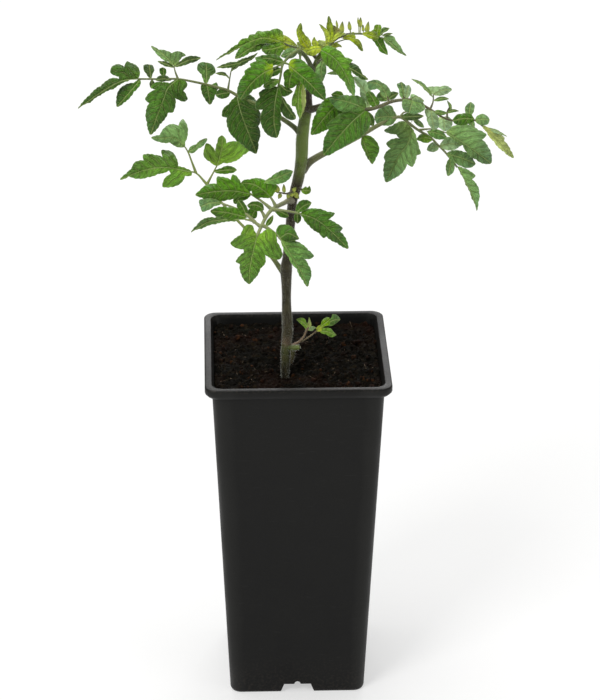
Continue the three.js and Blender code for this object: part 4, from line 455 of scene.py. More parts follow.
SHOOT_TIP = Leaf("shoot_tip", (0.9, 0.8), ("#7f9440", "#a9b63c"), [(326.8, 48.6, 2), (328, 45, 2.5),
        (328.5, 42, 3)], [[(328, 45), (320, 47), (310, 48)]], [
    Leaflet(Tint.BRIGHT, [(308, 48), (302, 39), (298.4, 31), (301, 22.7)], [(302, 46), (298, 38.3),
        (296.5, 33.5), (297.2, 28), (299.3, 24)], [(309, 40.5), (305.4, 35.5), (302.2, 31),
        (302.2, 26)], back=3),
    Leaflet(Tint.YOUNG, [(311, 47), (308.5, 42), (307.3, 36.3)], [(305, 43), (306, 39)],
        [(311, 42.5), (309, 38.7)], back=2),
    Leaflet(Tint.YOUNG, [(317, 47.5), (315.5, 42), (314.4, 36.6)], [(311.5, 44), (312.5, 39.5)],
        [(319, 43.5), (316, 40)], back=2.5),
    Leaflet(Tint.YOUNG, [(321, 49), (320.5, 44.5), (319.3, 39.8)], [(316, 45.5), (317.7, 41)],
        [(324, 46), (321.5, 41.7)], back=2, lift=-1),
    Leaflet(Tint.STRAW, [(307, 49), (301.5, 45.5), (296.8, 42.2)], [(299.3, 47.6), (297, 44.6)],
        [(306, 44.7), (300, 42)], back=1, lift=0.5),
    Leaflet(Tint.YOUNG, [(320, 49), (307, 50.7), (295.7, 51)], [(312, 45.5), (304, 46.8),
        (299, 45.7)], [(312, 54), (308, 53.6), (304, 56), (298.5, 54.6)], back=-2),
    Leaflet(Tint.YOUNG, [(323, 48.5), (314, 49), (305, 53)], [(316, 46), (309, 49)], [(318, 53.5),
        (310, 56)], back=-2.5, lift=0.8),
    Leaflet(Tint.YOUNG, [(328, 46), (325.7, 35), (322.5, 28.5), (318.7, 24.1)], [(325, 42),
        (324.3, 35), (321, 28.5)], [(329.8, 41), (330, 34), (328, 30.5), (324.5, 27.4)], back=3),
    Leaflet(Tint.BRIGHT, [(329.5, 45), (330, 34), (329.8, 25), (328.7, 15.7)], [(327.5, 37),
        (327, 30), (327.3, 22)], [(333.3, 36), (333.2, 29), (331.5, 22)], back=6, lift=-0.5),
    Leaflet(Tint.DUSKY, [(331, 43), (335, 34.5), (336, 26.5)], [(332, 37), (332, 29), (332.6, 25)],
        [(338.5, 36), (341, 31.6), (338.2, 27.7)], back=6, lift=-1.2),
    Leaflet(Tint.YOUNG, [(329, 43.5), (336.5, 37), (346, 34.4)], [(331, 38.3), (335, 34.6),
        (341, 31.6)], [(335.5, 40), (340.5, 36.7)], back=5, lift=0.3),
    Leaflet(Tint.STRAW, [(327, 46.5), (322, 42.3), (317.3, 43.3)], wide=6, back=1)])
SHOOT_AT_FOOT = Leaf("shoot_at_foot", (0.95, 0.55), ("#8d6f60", "#7d6a50"), [(288, 347, -15.6),
        (294, 344.5, -15.2), (299.5, 341.5, -14.7), (304, 336, -14.2), (306.2, 331, -13.8),
        (308.3, 327.5, -13.5)], [[(295, 344), (304, 340), (311.5, 335), (317.5, 330.5), (325, 326)],
        [(317.5, 330.5), (322, 331)]], [
    Leaflet(Tint.FRESH, [(308, 328), (303, 322.3), (296.3, 319.6)], [(305, 328), (303.3, 325.9),
        (300.5, 323.4), (298, 321.3)], [(306.2, 322.5), (305.3, 319.4), (303.3, 318),
        (299.5, 317.9)]),
    Leaflet(Tint.STRAW, [(309.4, 329), (309.7, 323), (309.2, 317.3)], [(307, 327), (308, 322)],
        [(311.4, 326), (310.6, 321)]),
    Leaflet(Tint.STRAW, [(309, 330), (306, 327.5), (306.8, 323.8)], wide=4, lift=0.6),
    Leaflet(Tint.FROSTED, [(309, 330.5), (312.3, 328), (316, 327.6)], wide=4.4, lift=0.8),
    Leaflet(Tint.YOUNG, [(316.5, 331.5), (319, 328.5), (323, 325.5)], [(316, 328.3), (318.5, 325.6),
        (321, 324.6)], [(320.5, 331.5), (323.5, 329)], lift=0.4),
    Leaflet(Tint.LIME, [(320.5, 327), (325, 323.5), (330.3, 319)], [(321, 324), (321.8, 321),
        (324, 318.4), (327, 317), (329.7, 317.7)], [(324.5, 326), (328, 325.4), (331, 323.5),
        (332, 320.5)], lift=0.6),
    Leaflet(Tint.BLOOM, [(326, 326), (332.5, 320.5), (340.4, 319.4)], [(330, 320), (331.7, 317),
        (332.2, 314.5), (336, 314.5), (338.3, 316.3)], [(328.5, 326), (332.3, 325.6),
        (335.3, 323.6), (338.3, 321.5)]),
    Leaflet(Tint.FRESH, [(319, 331), (327, 331.6), (336.3, 335.2)], [(322, 328.7), (327, 327.6),
        (331, 328.6), (333.4, 331.8)], [(321.5, 333.3), (326, 334), (329, 336.4), (332.3, 337.2)],
        lift=1)])

LEAVES = (LEAF_UPPER_LEFT, LEAF_LOWER_RIGHT, LEAF_UPPER_RIGHT, LEAF_LOWER_LEFT, LEAF_MIDDLE_FRONT,
          LEAF_APEX_FRONT, LEAF_APEX_LEFT, LEAF_APEX_RIGHT, LEAF_APEX_BACK_RIGHT, SHOOT_TIP,
          SHOOT_AT_FOOT)

TRUSSES = [
    Truss("flower_buds_middle", (0.7, 0.4),
          [(295.5, 190, -3.3), (291, 192, -9), (286, 193.7, -10.5), (281, 192.7, -11),
           (277, 192.5, -11.3)],
          [
           Bud((284.5, 193), (283.8, 184), 1.2), Bud((278.5, 192.7), (277, 185), 1.5),
           Bud((277, 192.5), (274, 187), 1.0), Bud((281, 192.7), (278.3, 198.8), 1.3),
           Bud((288, 193), (288.3, 199.3), 1.25), Bud((291, 192), (292.5, 197.6), 0.9),
           Bud((292, 191.7), (296.5, 186.8), 1.2), Bud((293, 191), (299.3, 198.8), 1.4),
           Bud((292.5, 191.5), (295.5, 196), 1.0)]),
    Truss("flower_buds_side", (0.7, 0.5),
          [(296.5, 187, -3.2), (300, 188.7, -7.5), (303.5, 190, -7.5)],
          [Bud((301.5, 190), (307, 193.5), 1.2)],
          [
           Leaflet(Tint.FRESH, [(301, 190.7), (306, 190.5), (311, 191)],
                   [(303, 188.2), (306, 186.3), (307.3, 188), (309.5, 185.7), (310.8, 188.3)],
                   [(302.6, 193.2), (306, 194.6), (309.7, 193.3)], lift=1)]),
    Truss("flower_buds_top", (0.55, 0.4),
          [
           (319.5, 59, 1.6), (323, 53, 10), (329, 45.5, 15), (337, 37.5, 18), (346, 34, 20),
           (356, 33.4, 22), (367, 34, 24)],
          [
           Bud((339.5, 36), (336.2, 20), 0.75), Bud((341.5, 35.5), (342.5, 21.3), 1.6),
           Bud((350.7, 33.6), (349, 21), 1.25), Bud((358.8, 33.4), (358, 17), 0.65),
           Bud((360, 33.4), (360.7, 17.2), 1.35), Bud((363.5, 33.5), (363, 24.5), 0.9),
           Bud((366.5, 33.8), (368.5, 21.4), 1.5)]),
]


def linked(name: str, data: ID) -> Object:
    """Makes an object of a mesh, a lamp or a camera, and links it."""
    made = bpy.data.objects.new(name, data)
    bpy.context.scene.collection.objects.link(made)
    return made


def settled(name: str, source: Object) -> Object:
    """Turns an object with modifiers, which is used up, into one with a plain mesh."""
    seen = source.evaluated_get(bpy.context.evaluated_depsgraph_get())
    mesh = bpy.data.meshes.new_from_object(seen)
    mesh.name = name
    bpy.data.objects.remove(source)
    return linked(name, mesh)


@dataclass(frozen=True)
class View:
    """The view the picks were made in, and the render's camera."""

    azimuth: float = -1.976
    elevation: float = 25.696
    roll: float = 0.18
    distance: float = 1757.3
    focal: float = 2931.0
    aim: Pick = (2.34, 0.0, 214.86)
    sensor: float = 36.0

    def axes(self) -> tuple[Vector, Vector, Vector]:
        """Returns the directions to the right, up and back towards the camera."""
        turn, rise, roll = (math.radians(a) for a in (self.azimuth, self.elevation, self.roll))
        back = Vector((math.sin(turn) * math.cos(rise), -math.cos(turn) * math.cos(rise),
                       math.sin(rise)))
        right = (-back).cross(Vector((0, 0, 1))).normalized()
        up = right.cross(-back)
        spin = Matrix.Rotation(roll, 3, back)
        return spin @ right, spin @ up, back

    def eye(self) -> Vector:
        """Returns the camera's place."""
        return Vector(self.aim) + self.axes()[2] * self.distance

    def sight(self, picks: np.ndarray) -> np.ndarray:
        """Returns the sight line's direction for each row of column and row."""
        right, up, back = (np.array(axis) for axis in self.axes())
        across = (picks[:, :1] - PICTURE[0] / 2) / self.focal
        rise = (PICTURE[1] / 2 - picks[:, 1:2]) / self.focal
        return across * right + rise * up - back

    def seen(self, picks: np.ndarray, depth: np.ndarray) -> np.ndarray:
        """Places picks in space.

        Args:
            picks: One row for each pick, starting with its column and row.
            depth: How far each lies behind the middle of the pot.

        Returns:
            One row of x, y, z for each pick.
        """
        line = self.sight(picks)
        eye = np.array(self.eye())
        return eye + line * ((depth - eye[1]) / line[:, 1])[:, None]

    def camera(self) -> Object:
        """Makes the camera that takes the photograph's view."""
        right, up, back = self.axes()
        data = bpy.data.cameras.new("photo_camera")
        data.sensor_width = self.sensor
        data.lens = self.focal * self.sensor / max(PICTURE)
        data.clip_end = 10.0
        camera = linked("photo_camera", data)
        turned = Matrix((right, up, back)).transposed().to_4x4()
        camera.matrix_world = Matrix.Translation(self.eye() * MM) @ turned
        return camera


VIEW = View()


def between(a: np.ndarray, b: np.ndarray, low: float, high: float, t: np.ndarray) -> np.ndarray:
    """Returns the straight mix of a, at low, and b, at high."""
    return ((high - t) * a + (t - low) * b) / (high - low)


def flow(rows: np.ndarray, step: float) -> np.ndarray:
    """Runs a smooth curve through rows of picks.

    Args:
        rows: Columns and rows first, then any values that go along.
        step: The spacing wanted, in picture units.

    Returns:
        The curve's rows, spaced about a step apart, through every row given.
    """
    ends = [2 * rows[0] - rows[1], *rows, 2 * rows[-1] - rows[-2]]
    made = [rows[:1]]
    for a, b, c, d in zip(ends, ends[1:], ends[2:], ends[3:]):
        gaps = [max(float(np.hypot(*(q - p)[:2])), 0.05) ** 0.5
                for p, q in ((a, b), (b, c), (c, d))]
        k0, k1, k2, k3 = 0.0, gaps[0], gaps[0] + gaps[1], sum(gaps)
        count = max(1, round(float(np.hypot(*(c - b)[:2])) / step))
        t = np.linspace(k1, k2, count + 1)[1:, None]
        one, two = between(a, b, k0, k1, t), between(b, c, k1, k2, t)
        three = between(c, d, k2, k3, t)
        one, two = between(one, two, k0, k2, t), between(two, three, k1, k3, t)
        made.append(between(one, two, k1, k2, t))
    return np.concatenate(made)


def travelled(path: np.ndarray) -> np.ndarray:
    """Returns how far along a path each of its rows lies."""
    return np.concatenate([[0], np.cumsum(np.linalg.norm(np.diff(path, axis=0), axis=1))])


@dataclass
class Nearest:
    """Where points lie beside a line.

    share is of the line's length, gap is the distance off it, side is its sign, foot is the
    place on it, and span and part tell which stretch that is on and how far along.
    """

    share: np.ndarray
    gap: np.ndarray
    side: np.ndarray
    foot: np.ndarray
    span: np.ndarray
    part: np.ndarray


def nearest(line: np.ndarray, points: np.ndarray) -> Nearest:
    """Finds the closest place on a line of picks for each point."""
    start, run = line[:-1, :2], np.diff(line[:, :2], axis=0)
    length = np.maximum(np.hypot(run[:, 0], run[:, 1]), 1e-9)
    rel = points[:, None, :2] - start
    part = np.clip((rel * run).sum(-1) / length ** 2, 0, 1)
    off = rel - part[..., None] * run
    gap = np.hypot(off[..., 0], off[..., 1])
    span = gap.argmin(1)
    row = np.arange(len(points))
    before = np.concatenate([[0], np.cumsum(length)])
    side = run[span, 0] * rel[row, span, 1] - run[span, 1] * rel[row, span, 0]
    return Nearest((before[span] + length[span] * part[row, span]) / before[-1], gap[row, span],
                   np.sign(side), start[span] + part[row, span, None] * run[span], span,
                   part[row, span])


def within(closed: np.ndarray, points: np.ndarray) -> np.ndarray:
    """Tells which points lie inside a closed outline."""
    a, b = closed[:-1], closed[1:]
    x, y = points[:, :1], points[:, 1:2]
    over = (a[:, 1] > y) != (b[:, 1] > y)
    with np.errstate(divide="ignore", invalid="ignore"):
        cut = (b[:, 0] - a[:, 0]) * (y - a[:, 1]) / (b[:, 1] - a[:, 1]) + a[:, 0]
    return (over & (x < cut)).sum(1) % 2 == 1


class Shell:
    """Gathers the points, faces and point values of one piece."""

    def __init__(self) -> None:
        """Starts an empty shell."""
        self.points: list[np.ndarray] = []
        self.faces: list[tuple[int, ...]] = []
        self.looks: list[int] = []
        self.tints: list[np.ndarray] = []
        self.blades: list[np.ndarray] = []
        self.count = 0

    def add(self, points: np.ndarray, faces: list[tuple[int, ...]], look: int | list[int],
            tint: np.ndarray, blade: np.ndarray | None = None) -> None:
        """Adds closed geometry.

        Args:
            points: Rows of x, y, z in millimetres.
            faces: Index tuples into points.
            look: The material index, for all faces or one each.
            tint: Linear colours, one row, or one for each point.
            blade: Vein phase, distance off the rib and from the rim, one row for each point.
        """
        self.points.append(points)
        self.faces += [tuple(i + self.count for i in face) for face in faces]
        self.looks += look if isinstance(look, list) else [look] * len(faces)
        self.tints.append(np.broadcast_to(tint, (len(points), 4)))
        self.blades.append(np.zeros((len(points), 3)) if blade is None else blade)
        self.count += len(points)

    def take(self, other: "Shell", first: int) -> None:
        """Takes over another shell, whose materials start at first."""
        self.points += other.points
        self.tints += other.tints
        self.blades += other.blades
        self.faces += [tuple(i + self.count for i in face) for face in other.faces]
        self.looks += [look + first for look in other.looks]
        self.count += other.count

    def to_object(self, name: str, materials: list[Material], crease: float = 50.0) -> Object:
        """Makes the object, smooth but for edges sharper than crease degrees."""
        mesh = bpy.data.meshes.new(name)
        mesh.from_pydata((np.concatenate(self.points) * MM).tolist(), [], self.faces)
        for material in materials:
            mesh.materials.append(material)
        mesh.polygons.foreach_set("material_index", self.looks)
        tint = mesh.attributes.new("tint", "FLOAT_COLOR", "POINT")
        tint.data.foreach_set("color", np.concatenate(self.tints).ravel().astype(np.float32))
        blade = mesh.attributes.new("blade", "FLOAT_VECTOR", "POINT")
        blade.data.foreach_set("vector", np.concatenate(self.blades).ravel().astype(np.float32))
        mesh.shade_smooth()
        mesh.set_sharp_from_angle(angle=math.radians(crease))
        mesh.update()
        return linked(name, mesh)


def bands(rings: int, count: int) -> list[tuple]:
    """Returns the faces between rings of count points, each ring after the one before."""
    return [(r * count + i, r * count + (i + 1) % count, (r + 1) * count + (i + 1) % count,
             (r + 1) * count + i) for r in range(rings - 1) for i in range(count)]


def graded(shades: tuple[str, str], share: np.ndarray, sides: int) -> np.ndarray:
    """Returns colours that change along a tube, one row for each of its points.

    Args:
        shades: The colours at its root and further out.
        share: How much of the second each ring has.
        sides: How many sides the tube has.

    Returns:
        The colours, with the root's and the tip's own points last.
    """
    share = np.concatenate([np.repeat(share, sides), [0, 1]])[:, None]
    root, rest = colours(*shades)
    return root * (1 - share) + rest * share


def tube(path: np.ndarray, radii: np.ndarray, sides: int,
         ribs: float = 0.0) -> tuple[np.ndarray, list[tuple]]:
    """Makes a closed round limb along a path.

    Args:
        path: Rows of x, y, z.
        radii: The radius at each row.
        sides: How many sides it has.
        ribs: How much five ribs along it stand out, as a share of the radius.

    Returns:
        Its points and its faces.
    """
    ahead = np.gradient(path, axis=0)
    ahead /= np.linalg.norm(ahead, axis=1)[:, None]
    out = np.cross(ahead[0], (0.0, 1.0, 0.0))
    points = []
    turns = np.arange(sides) / sides * 2 * math.pi
    swell = (1 + ribs * np.cos(5 * turns))[:, None]
    for place, way, radius in zip(path, ahead, radii):
        out = out - way * out.dot(way)
        out /= np.linalg.norm(out)
        side = np.cross(way, out)
        ring = np.cos(turns)[:, None] * out + np.sin(turns)[:, None] * side
        points.append(place + radius * swell * ring)
    count = len(path)
    points += [path[:1] - ahead[:1] * radii[0] * 0.5, path[-1:] + ahead[-1:] * radii[-1] * 0.6]
    faces = bands(count, sides)
    root, tip = count * sides, count * sides + 1
    for i in range(sides):
        faces.append((root, (i + 1) % sides, i))
        faces.append((tip, tip - 1 - sides + i, tip - 1 - sides + (i + 1) % sides))
    return np.concatenate(points), faces


@dataclass(frozen=True)
class Spring:
    """Where a leaflet or side stalk springs from its stalk."""

    place: Pick
    depth: float


def spring_from(stalks: list[np.ndarray], pick: Pick) -> Spring:
    """Finds the nearest place on the stalks so far, each of columns, rows and depths."""
    best, found = math.inf, Spring(pick, 0.0)
    for stalk in stalks:
        near = nearest(stalk, np.array([pick[:2]], float))
        if near.gap[0] >= best:
            continue
        best = near.gap[0]
        i, part = near.span[0], near.part[0]
        depth = stalk[i, 2] + (stalk[i + 1, 2] - stalk[i, 2]) * part
        found = Spring(tuple(near.foot[0]), float(depth))
    return found


@dataclass
class BladeMaker:
    """Shapes leaflets: their rims, their relief and their closed thin shells.

    Rims are drawn in picture units, each pixel millimetres wide on the plant. Depths and the
    rib's radii are in millimetres.
    """

    thick: float = 0.34
    fold: float = 0.2
    fold_round: float = 1.5
    lean: float = 0.42
    arch: float = 0.07
    rise_back: float = 0.45
    droop_forward: float = 0.12
    lift_share: float = 0.3
    grain: float = 1.4
    least_grain: float = 0.8
    least_across: int = 7
    row: float = 0.866
    rim_clear: float = 0.5
    rib_clear: float = 0.45
    edge_step: float = 0.9
    bulge: float = 0.06
    most_bulge: float = 0.8
    rounding: float = 0.25
    pixel: float = 0.6
    vein_gap: float = 7.5
    tooth_gap: float = 4.5
    tooth: float = 1.0
    toothed_from: float = 5.5
    full_tooth_from: float = 12.0
    full_relief_veins: int = 6
    soft_reach: float = 2.5
    pucker: float = 0.62
    wave: float = 0.9
    wing: float = 0.24
    swing: float = 0.8
    crinkle: float = 0.9
    halves: float = 0.15
    varied: float = 0.12
    snap: float = 1.5
    stalklet: float = 1.1
    rib_step: float = 1.5
    rib_reach: float = 0.93
    rib_raised: float = 0.12
    rib_radii: tuple[float, float] = (0.12, 0.32)
    rib_growth: float = 0.004
    rib_taper: float = 0.86
    rib_tint: str = "#a9bd80"
    rib_share: float = 0.65
    rib_sides: int = 6

    def rims(self, leaflet: Leaflet) -> tuple[Picks, Picks]:
        """Returns the two rims, those of a plain lance shape where none are picked."""
        if leaflet.rim:
            return leaflet.rim, leaflet.other_rim
        rib = np.array(leaflet.rib, float)
        sides = []
        for side in (1, -1):
            rim = []
            for share, swell in ((0.12, 0.6), (0.35, 1.0), (0.65, 0.85), (0.85, 0.45)):
                at = share * (len(rib) - 1)
                i = min(int(at), len(rib) - 2)
                run = rib[i + 1] - rib[i]
                out = side * leaflet.wide / 2 * swell / np.hypot(*run)
                spot = rib[i] + run * (at - i)
                rim.append((spot[0] - run[1] * out, spot[1] + run[0] * out))
            sides.append(rim)
        return sides[0], sides[1]

    def edge(self, rim: Picks, root: np.ndarray, tip: np.ndarray) -> np.ndarray:
        """Rounds and teeth one rim, from root to tip; its outer corners stay sharp."""
        line = np.array([root, *rim, tip], float)
        rel = line - root
        way = tip - root
        side = np.sign((way[0] * rel[:, 1] - way[1] * rel[:, 0]).sum())
        made, free = [line[0]], [0.0]
        for i, (a, b) in enumerate(zip(line, line[1:])):
            run = b - a
            length = max(float(np.hypot(*run)), 1e-6)
            out = side * np.array([-run[1], run[0]]) / length
            count = max(1, round(length / self.edge_step))
            t = np.arange(1, count + 1)[:, None] / count
            swell = min(self.bulge * length, self.most_bulge) * 4 * t * (1 - t)
            teeth = max(1, round(length / self.tooth_gap)) if length > self.toothed_from else 0
            tall = self.tooth * min(1, length / self.full_tooth_from)
            saw = np.where(t < 0.999, (t * teeth) % 1.0, 0) * tall
            made += list(a + run * t + out * (swell + saw))
            last = i + 2 == len(line) or (line[i + 2] - b).dot(out) < 0
            free += [1.0] * (count - 1) + [0.0 if last else 1.0]
        line, loose = np.array(made), np.array(free)[1:-1, None]
        line[1:-1] += loose * self.rounding * (line[:-2] - 2 * line[1:-1] + line[2:])
        return line

    def fill(self, loop: np.ndarray, rib: np.ndarray) -> tuple[np.ndarray, list[tuple]]:
        """Fills a closed outline with well shaped triangles that follow the rib.

        Args:
            loop: The outline, starting at the root.
            rib: Points on the rib, from root to tip.

        Returns:
            The points in the picture, and triangles that turn clockwise there.
        """
        low, high = loop.min(0), loop.max(0)
        grain = max(self.least_grain, float((high - low).min()) / self.least_across)
        grain = min(self.grain, grain)
        rows = np.arange(low[1], high[1], grain * self.row)
        spots = np.array([(x, y) for i, y in enumerate(rows)
                          for x in np.arange(low[0] + (i % 2) * grain / 2, high[0], grain)])
        closed = np.concatenate([loop, loop[:1]])
        spots = spots[within(closed, spots)]
        if len(spots):
            clear = nearest(closed, spots).gap > self.rim_clear * grain
            clear &= nearest(rib, spots).gap > self.rib_clear * grain
            spots = spots[clear]
        count = len(loop)
        inner = rib[1:-1][within(closed, rib[1:-1])]
        verts = [Vector(p) for p in np.concatenate([loop, inner, spots])]
        tip = int(np.argmin(np.hypot(*(loop - rib[-1]).T)))
        chain = [0, *range(count, count + len(inner)), tip]
        edges = list(zip(chain, chain[1:]))
        points, _, faces, *_ = delaunay_2d_cdt(verts, edges, [list(range(count))], 1, 1e-5)
        return np.array([tuple(p) for p in points]), [tuple(face) for face in faces]

    def depth(self, leaflet: Leaflet, rib: np.ndarray, near: Nearest,
              picks: np.ndarray) -> np.ndarray:
        """Returns how far behind its root each point of a leaflet lies."""
        rise = rib[0, 1] - rib[-1, 1]
        back = leaflet.back
        if back is None:
            back = rise * (self.rise_back if rise > 0 else self.droop_forward)
        length = np.hypot(*(rib[-1] - rib[0])) * self.pixel
        lift = leaflet.lift * np.minimum(1, near.share / self.lift_share)
        bow = self.arch * length * 4 * near.share * (1 - near.share)
        fold = self.fold * (np.hypot(near.gap, self.fold_round) - self.fold_round)
        return (back * near.share - lift - bow + fold
                + self.lean * (near.foot[:, 1] - picks[:, 1]))

    def relief(self, near: Nearest, rim_gap: np.ndarray, picks: np.ndarray, veins: int,
               seed: int) -> np.ndarray:
        """Returns the fine relief.

        Args:
            near: Where each point lies beside the rib.
            rim_gap: How far each lies from the rim.
            picks: The points in the picture.
            veins: How many pairs of side veins there are.
            seed: Starts the random draws.

        Returns:
            How far each point is set back: the rib is sunk, the halves rise beside it and
            droop at the rim, the skin is quilted between the veins, and the whole swings.
        """
        draw = random.Random(seed)
        phase = draw.uniform(0, 2 * math.pi)
        size = min(1.0, veins / self.full_relief_veins)
        half = max(float(near.gap.max()), 1.0)
        quilt = np.abs(np.sin(math.pi * self.phase(near, veins))) ** 0.6
        inward = np.minimum(1, rim_gap / self.soft_reach) * np.minimum(1, near.gap / 2)
        ripple = np.sin(near.share * veins * 1.7 + phase + near.side) * (near.gap / half) ** 2
        wings = -self.wing * near.gap * (1 - near.gap / (1.35 * half)) * size
        turn = draw.uniform(0, math.pi)
        across = picks[:, 0] * math.cos(turn) + picks[:, 1] * math.sin(turn)
        swing = np.sin(across * 0.28 + phase) * np.minimum(1, near.share * 3)
        crinkle = np.array([noise.noise(Vector((x, y, seed))) for x, y in picks * 0.21])
        return (wings - self.pucker * size * quilt * inward + self.wave * size * ripple
                + self.swing * size * swing + self.crinkle * inward * crinkle)

    def phase(self, near: Nearest, veins: int) -> np.ndarray:
        """Returns a number that is whole on each side vein."""
        gap = near.gap / self.vein_gap
        spots = np.column_stack([near.foot, near.gap * near.side]) * 0.13
        unsteady = np.array([noise.noise(Vector(spot)) for spot in spots])
        return near.share * veins - 0.62 * gap - 0.12 * gap ** 2 + 0.28 * unsteady

    def make(self, shell: Shell, leaflet: Leaflet, spring: Spring, seed: int) -> None:
        """Adds a leaflet's blade, rib and stalklet to a shell."""
        rib = flow(np.array(leaflet.rib, float), self.rib_step)
        start = np.array(spring.place)
        stalked = np.hypot(*(rib[0] - start)) > self.snap
        if not stalked:
            rib[0] = start
        one, two = (self.edge(rim, rib[0], rib[-1]) for rim in self.rims(leaflet))
        loop = np.concatenate([one[:-1], two[:0:-1]])
        ahead = np.roll(loop, -1, axis=0)
        if (loop[:, 0] * ahead[:, 1] - loop[:, 1] * ahead[:, 0]).sum() < 0:
            loop = np.concatenate([loop[:1], loop[:0:-1]])
        flat, faces = self.fill(loop, rib)
        near = nearest(rib, flat)
        closed = np.concatenate([loop, loop[:1]])
        rim_gap = nearest(closed, flat).gap
        length = float(np.hypot(*np.diff(rib, axis=0).T).sum())
        veins = max(3, round(length / self.vein_gap))
        depth = spring.depth + self.depth(leaflet, rib, near, flat)
        depth += self.relief(near, rim_gap, flat, veins, seed)
        line = VIEW.sight(flat)
        line /= np.linalg.norm(line, axis=1)[:, None]
        top = VIEW.seen(flat, depth) - line * self.thick / 2
        under = top + line * self.thick
        count = len(flat)
        upper = [face[::-1] for face in faces]
        open_edges = {(a, b) for face in upper for a, b in zip(face, face[1:] + face[:1])}
        walls = [(b, a, a + count, b + count) for a, b in open_edges if (b, a) not in open_edges]
        lower = [tuple(i + count for i in face) for face in faces]
        looks = [0] * len(upper) + [1] * len(lower) + [0] * len(walls)
        shade = self.shade(leaflet.tint, near, seed)
        blade = np.stack([self.phase(near, veins), near.gap * near.side * self.pixel,
                          rim_gap * self.pixel], 1)
        shell.add(np.concatenate([top, under]), upper + lower + sorted(walls), looks,
                  np.concatenate([shade, shade]), np.concatenate([blade, blade]))
        bend = self.relief(nearest(rib, rib), np.zeros(len(rib)), rib, veins, seed)
        self.rib(shell, leaflet, rib, start if stalked else None, spring.depth, bend)

    def shade(self, tint: Tint, near: Nearest, seed: int) -> np.ndarray:
        """Returns each point's colour, root to tip, a little varied, with painted half shading."""
        *shades, reach = tint.value
        root, body, tip = colours(*shades)
        half = max(float(near.gap.max()), 1.0)
        out = near.share + 0.3 * near.gap / half
        early = np.clip(out / reach, 0, 1)[:, None]
        late = np.clip((out - 0.6) / 0.5, 0, 1)[:, None]
        early, late = early * early * (3 - 2 * early), late * late * (3 - 2 * late)
        mixed = (root * (1 - early) + body * early) * (1 - late) + tip * late
        draw = random.Random(seed + 7)
        mixed *= draw.uniform(1 - self.varied, 1 + self.varied)
        # Painted light and shade: one half of the blade lighter, the other half darker
        mixed *= 1 + draw.choice((-self.halves, self.halves)) * (
            near.side * np.minimum(1, near.gap / self.soft_reach))[:, None]
        mixed[:, 3] = 1.0
        return mixed

    def rib(self, shell: Shell, leaflet: Leaflet, rib: np.ndarray, start: np.ndarray | None,
            depth: float, bend: np.ndarray) -> None:
        """Adds the stalklet and the raised rib as one tapering limb.

        Args:
            shell: Where it is added.
            leaflet: Whose rib it is.
            rib: The rib's picks, close together.
            start: Where the stalklet springs, if there is one.
            depth: How deep that place lies.
            bend: The blade's relief along the rib.
        """
        count = max(2, int(len(rib) * self.rib_reach))
        keep, bend = rib[:count], bend[:count]
        near = nearest(rib, keep)
        deep = depth + self.depth(leaflet, rib, near, keep) + bend - self.rib_raised
        least, most = self.rib_radii
        radius = min(most, least + self.rib_growth * len(rib))
        radii = radius * (1 - self.rib_taper * near.share ** 0.7)
        if start is not None:
            steps = max(2, round(float(np.hypot(*(rib[0] - start))) / self.rib_step))
            part = np.linspace(0, 1, steps, endpoint=False)[:, None]
            keep = np.concatenate([start + (rib[0] - start) * part, keep])
            deep = np.concatenate([depth + part[:, 0] * (deep[0] - depth), deep])
            radii = np.concatenate([np.full(steps, radius * self.stalklet), radii])
        points, faces = tube(VIEW.seen(keep, deep), radii, self.rib_sides)
        pale, green = colours(self.rib_tint, leaflet.tint.value[0])
        shell.add(points, faces, 2, pale * self.rib_share + green * (1 - self.rib_share))


@dataclass
class StalkMaker:
    """Shapes the leaf stalks, hairy and swollen where they join.

    swollen and fade are the lengths over which the swelling and the root's colour give way.
    """

    lean: float = 0.3
    sides: int = 12
    step: float = 1.8
    swell: float = 0.28
    swollen: float = 5.0
    fade: float = 26.0
    painted_light: float = 0.4

    def make(self, shells: list[Shell], picks: np.ndarray, thick: tuple[float, float],
             shades: tuple[str, str]) -> np.ndarray:
        """Adds one stalk.

        Args:
            shells: Where it is added: the piece, and the surface that hairs grow on.
            picks: Rows of column, row and depth.
            thick: Its radius at its root and at its end.
            shades: Its colours at its root and further out.

        Returns:
            The rows that it follows.
        """
        radii = thick[1] + (thick[0] - thick[1]) * np.linspace(1, 0, len(picks)) ** 2
        rows = flow(np.column_stack([picks, radii]), self.step)
        path = VIEW.seen(rows, rows[:, 2])
        along = travelled(path)
        girth = rows[:, 3] * (1 + self.swell * np.exp(-(along / self.swollen) ** 2))
        points, faces = tube(path, girth, self.sides)
        tint = graded(shades, np.clip(along / self.fade, 0, 1), self.sides)
        # Painted light: each stalk lighter on its upper side and darker on its lower side
        high = (points[:-2, 2] - np.repeat(path[:, 2], self.sides)) / np.repeat(girth, self.sides)
        tint[:-2, :3] *= 1 + self.painted_light * high[:, None]
        for shell in shells:
            shell.add(points, faces, 2, tint)
        return rows


def node(tree: NodeTree, kind: str, inputs: dict[int | str, Any] | tuple = (),
         **settings: Any) -> Node:
    """Adds a node.

    Args:
        tree: Where it is added.
        kind: Its type's name.
        inputs: What each input gets, by name or index, or in order from the first: a value,
            a socket, or a node whose first output is meant.
        **settings: Its own properties.

    Returns:
        The node.
    """
    made = tree.nodes.new(kind)
    for name, value in settings.items():
        setattr(made, name, value)
    for key, value in inputs.items() if isinstance(inputs, dict) else enumerate(inputs):
        if isinstance(value, Node):
            value = value.outputs[0]
        if isinstance(value, NodeSocket):
            tree.links.new(value, made.inputs[key])
        else:
            made.inputs[key].default_value = value
    return made


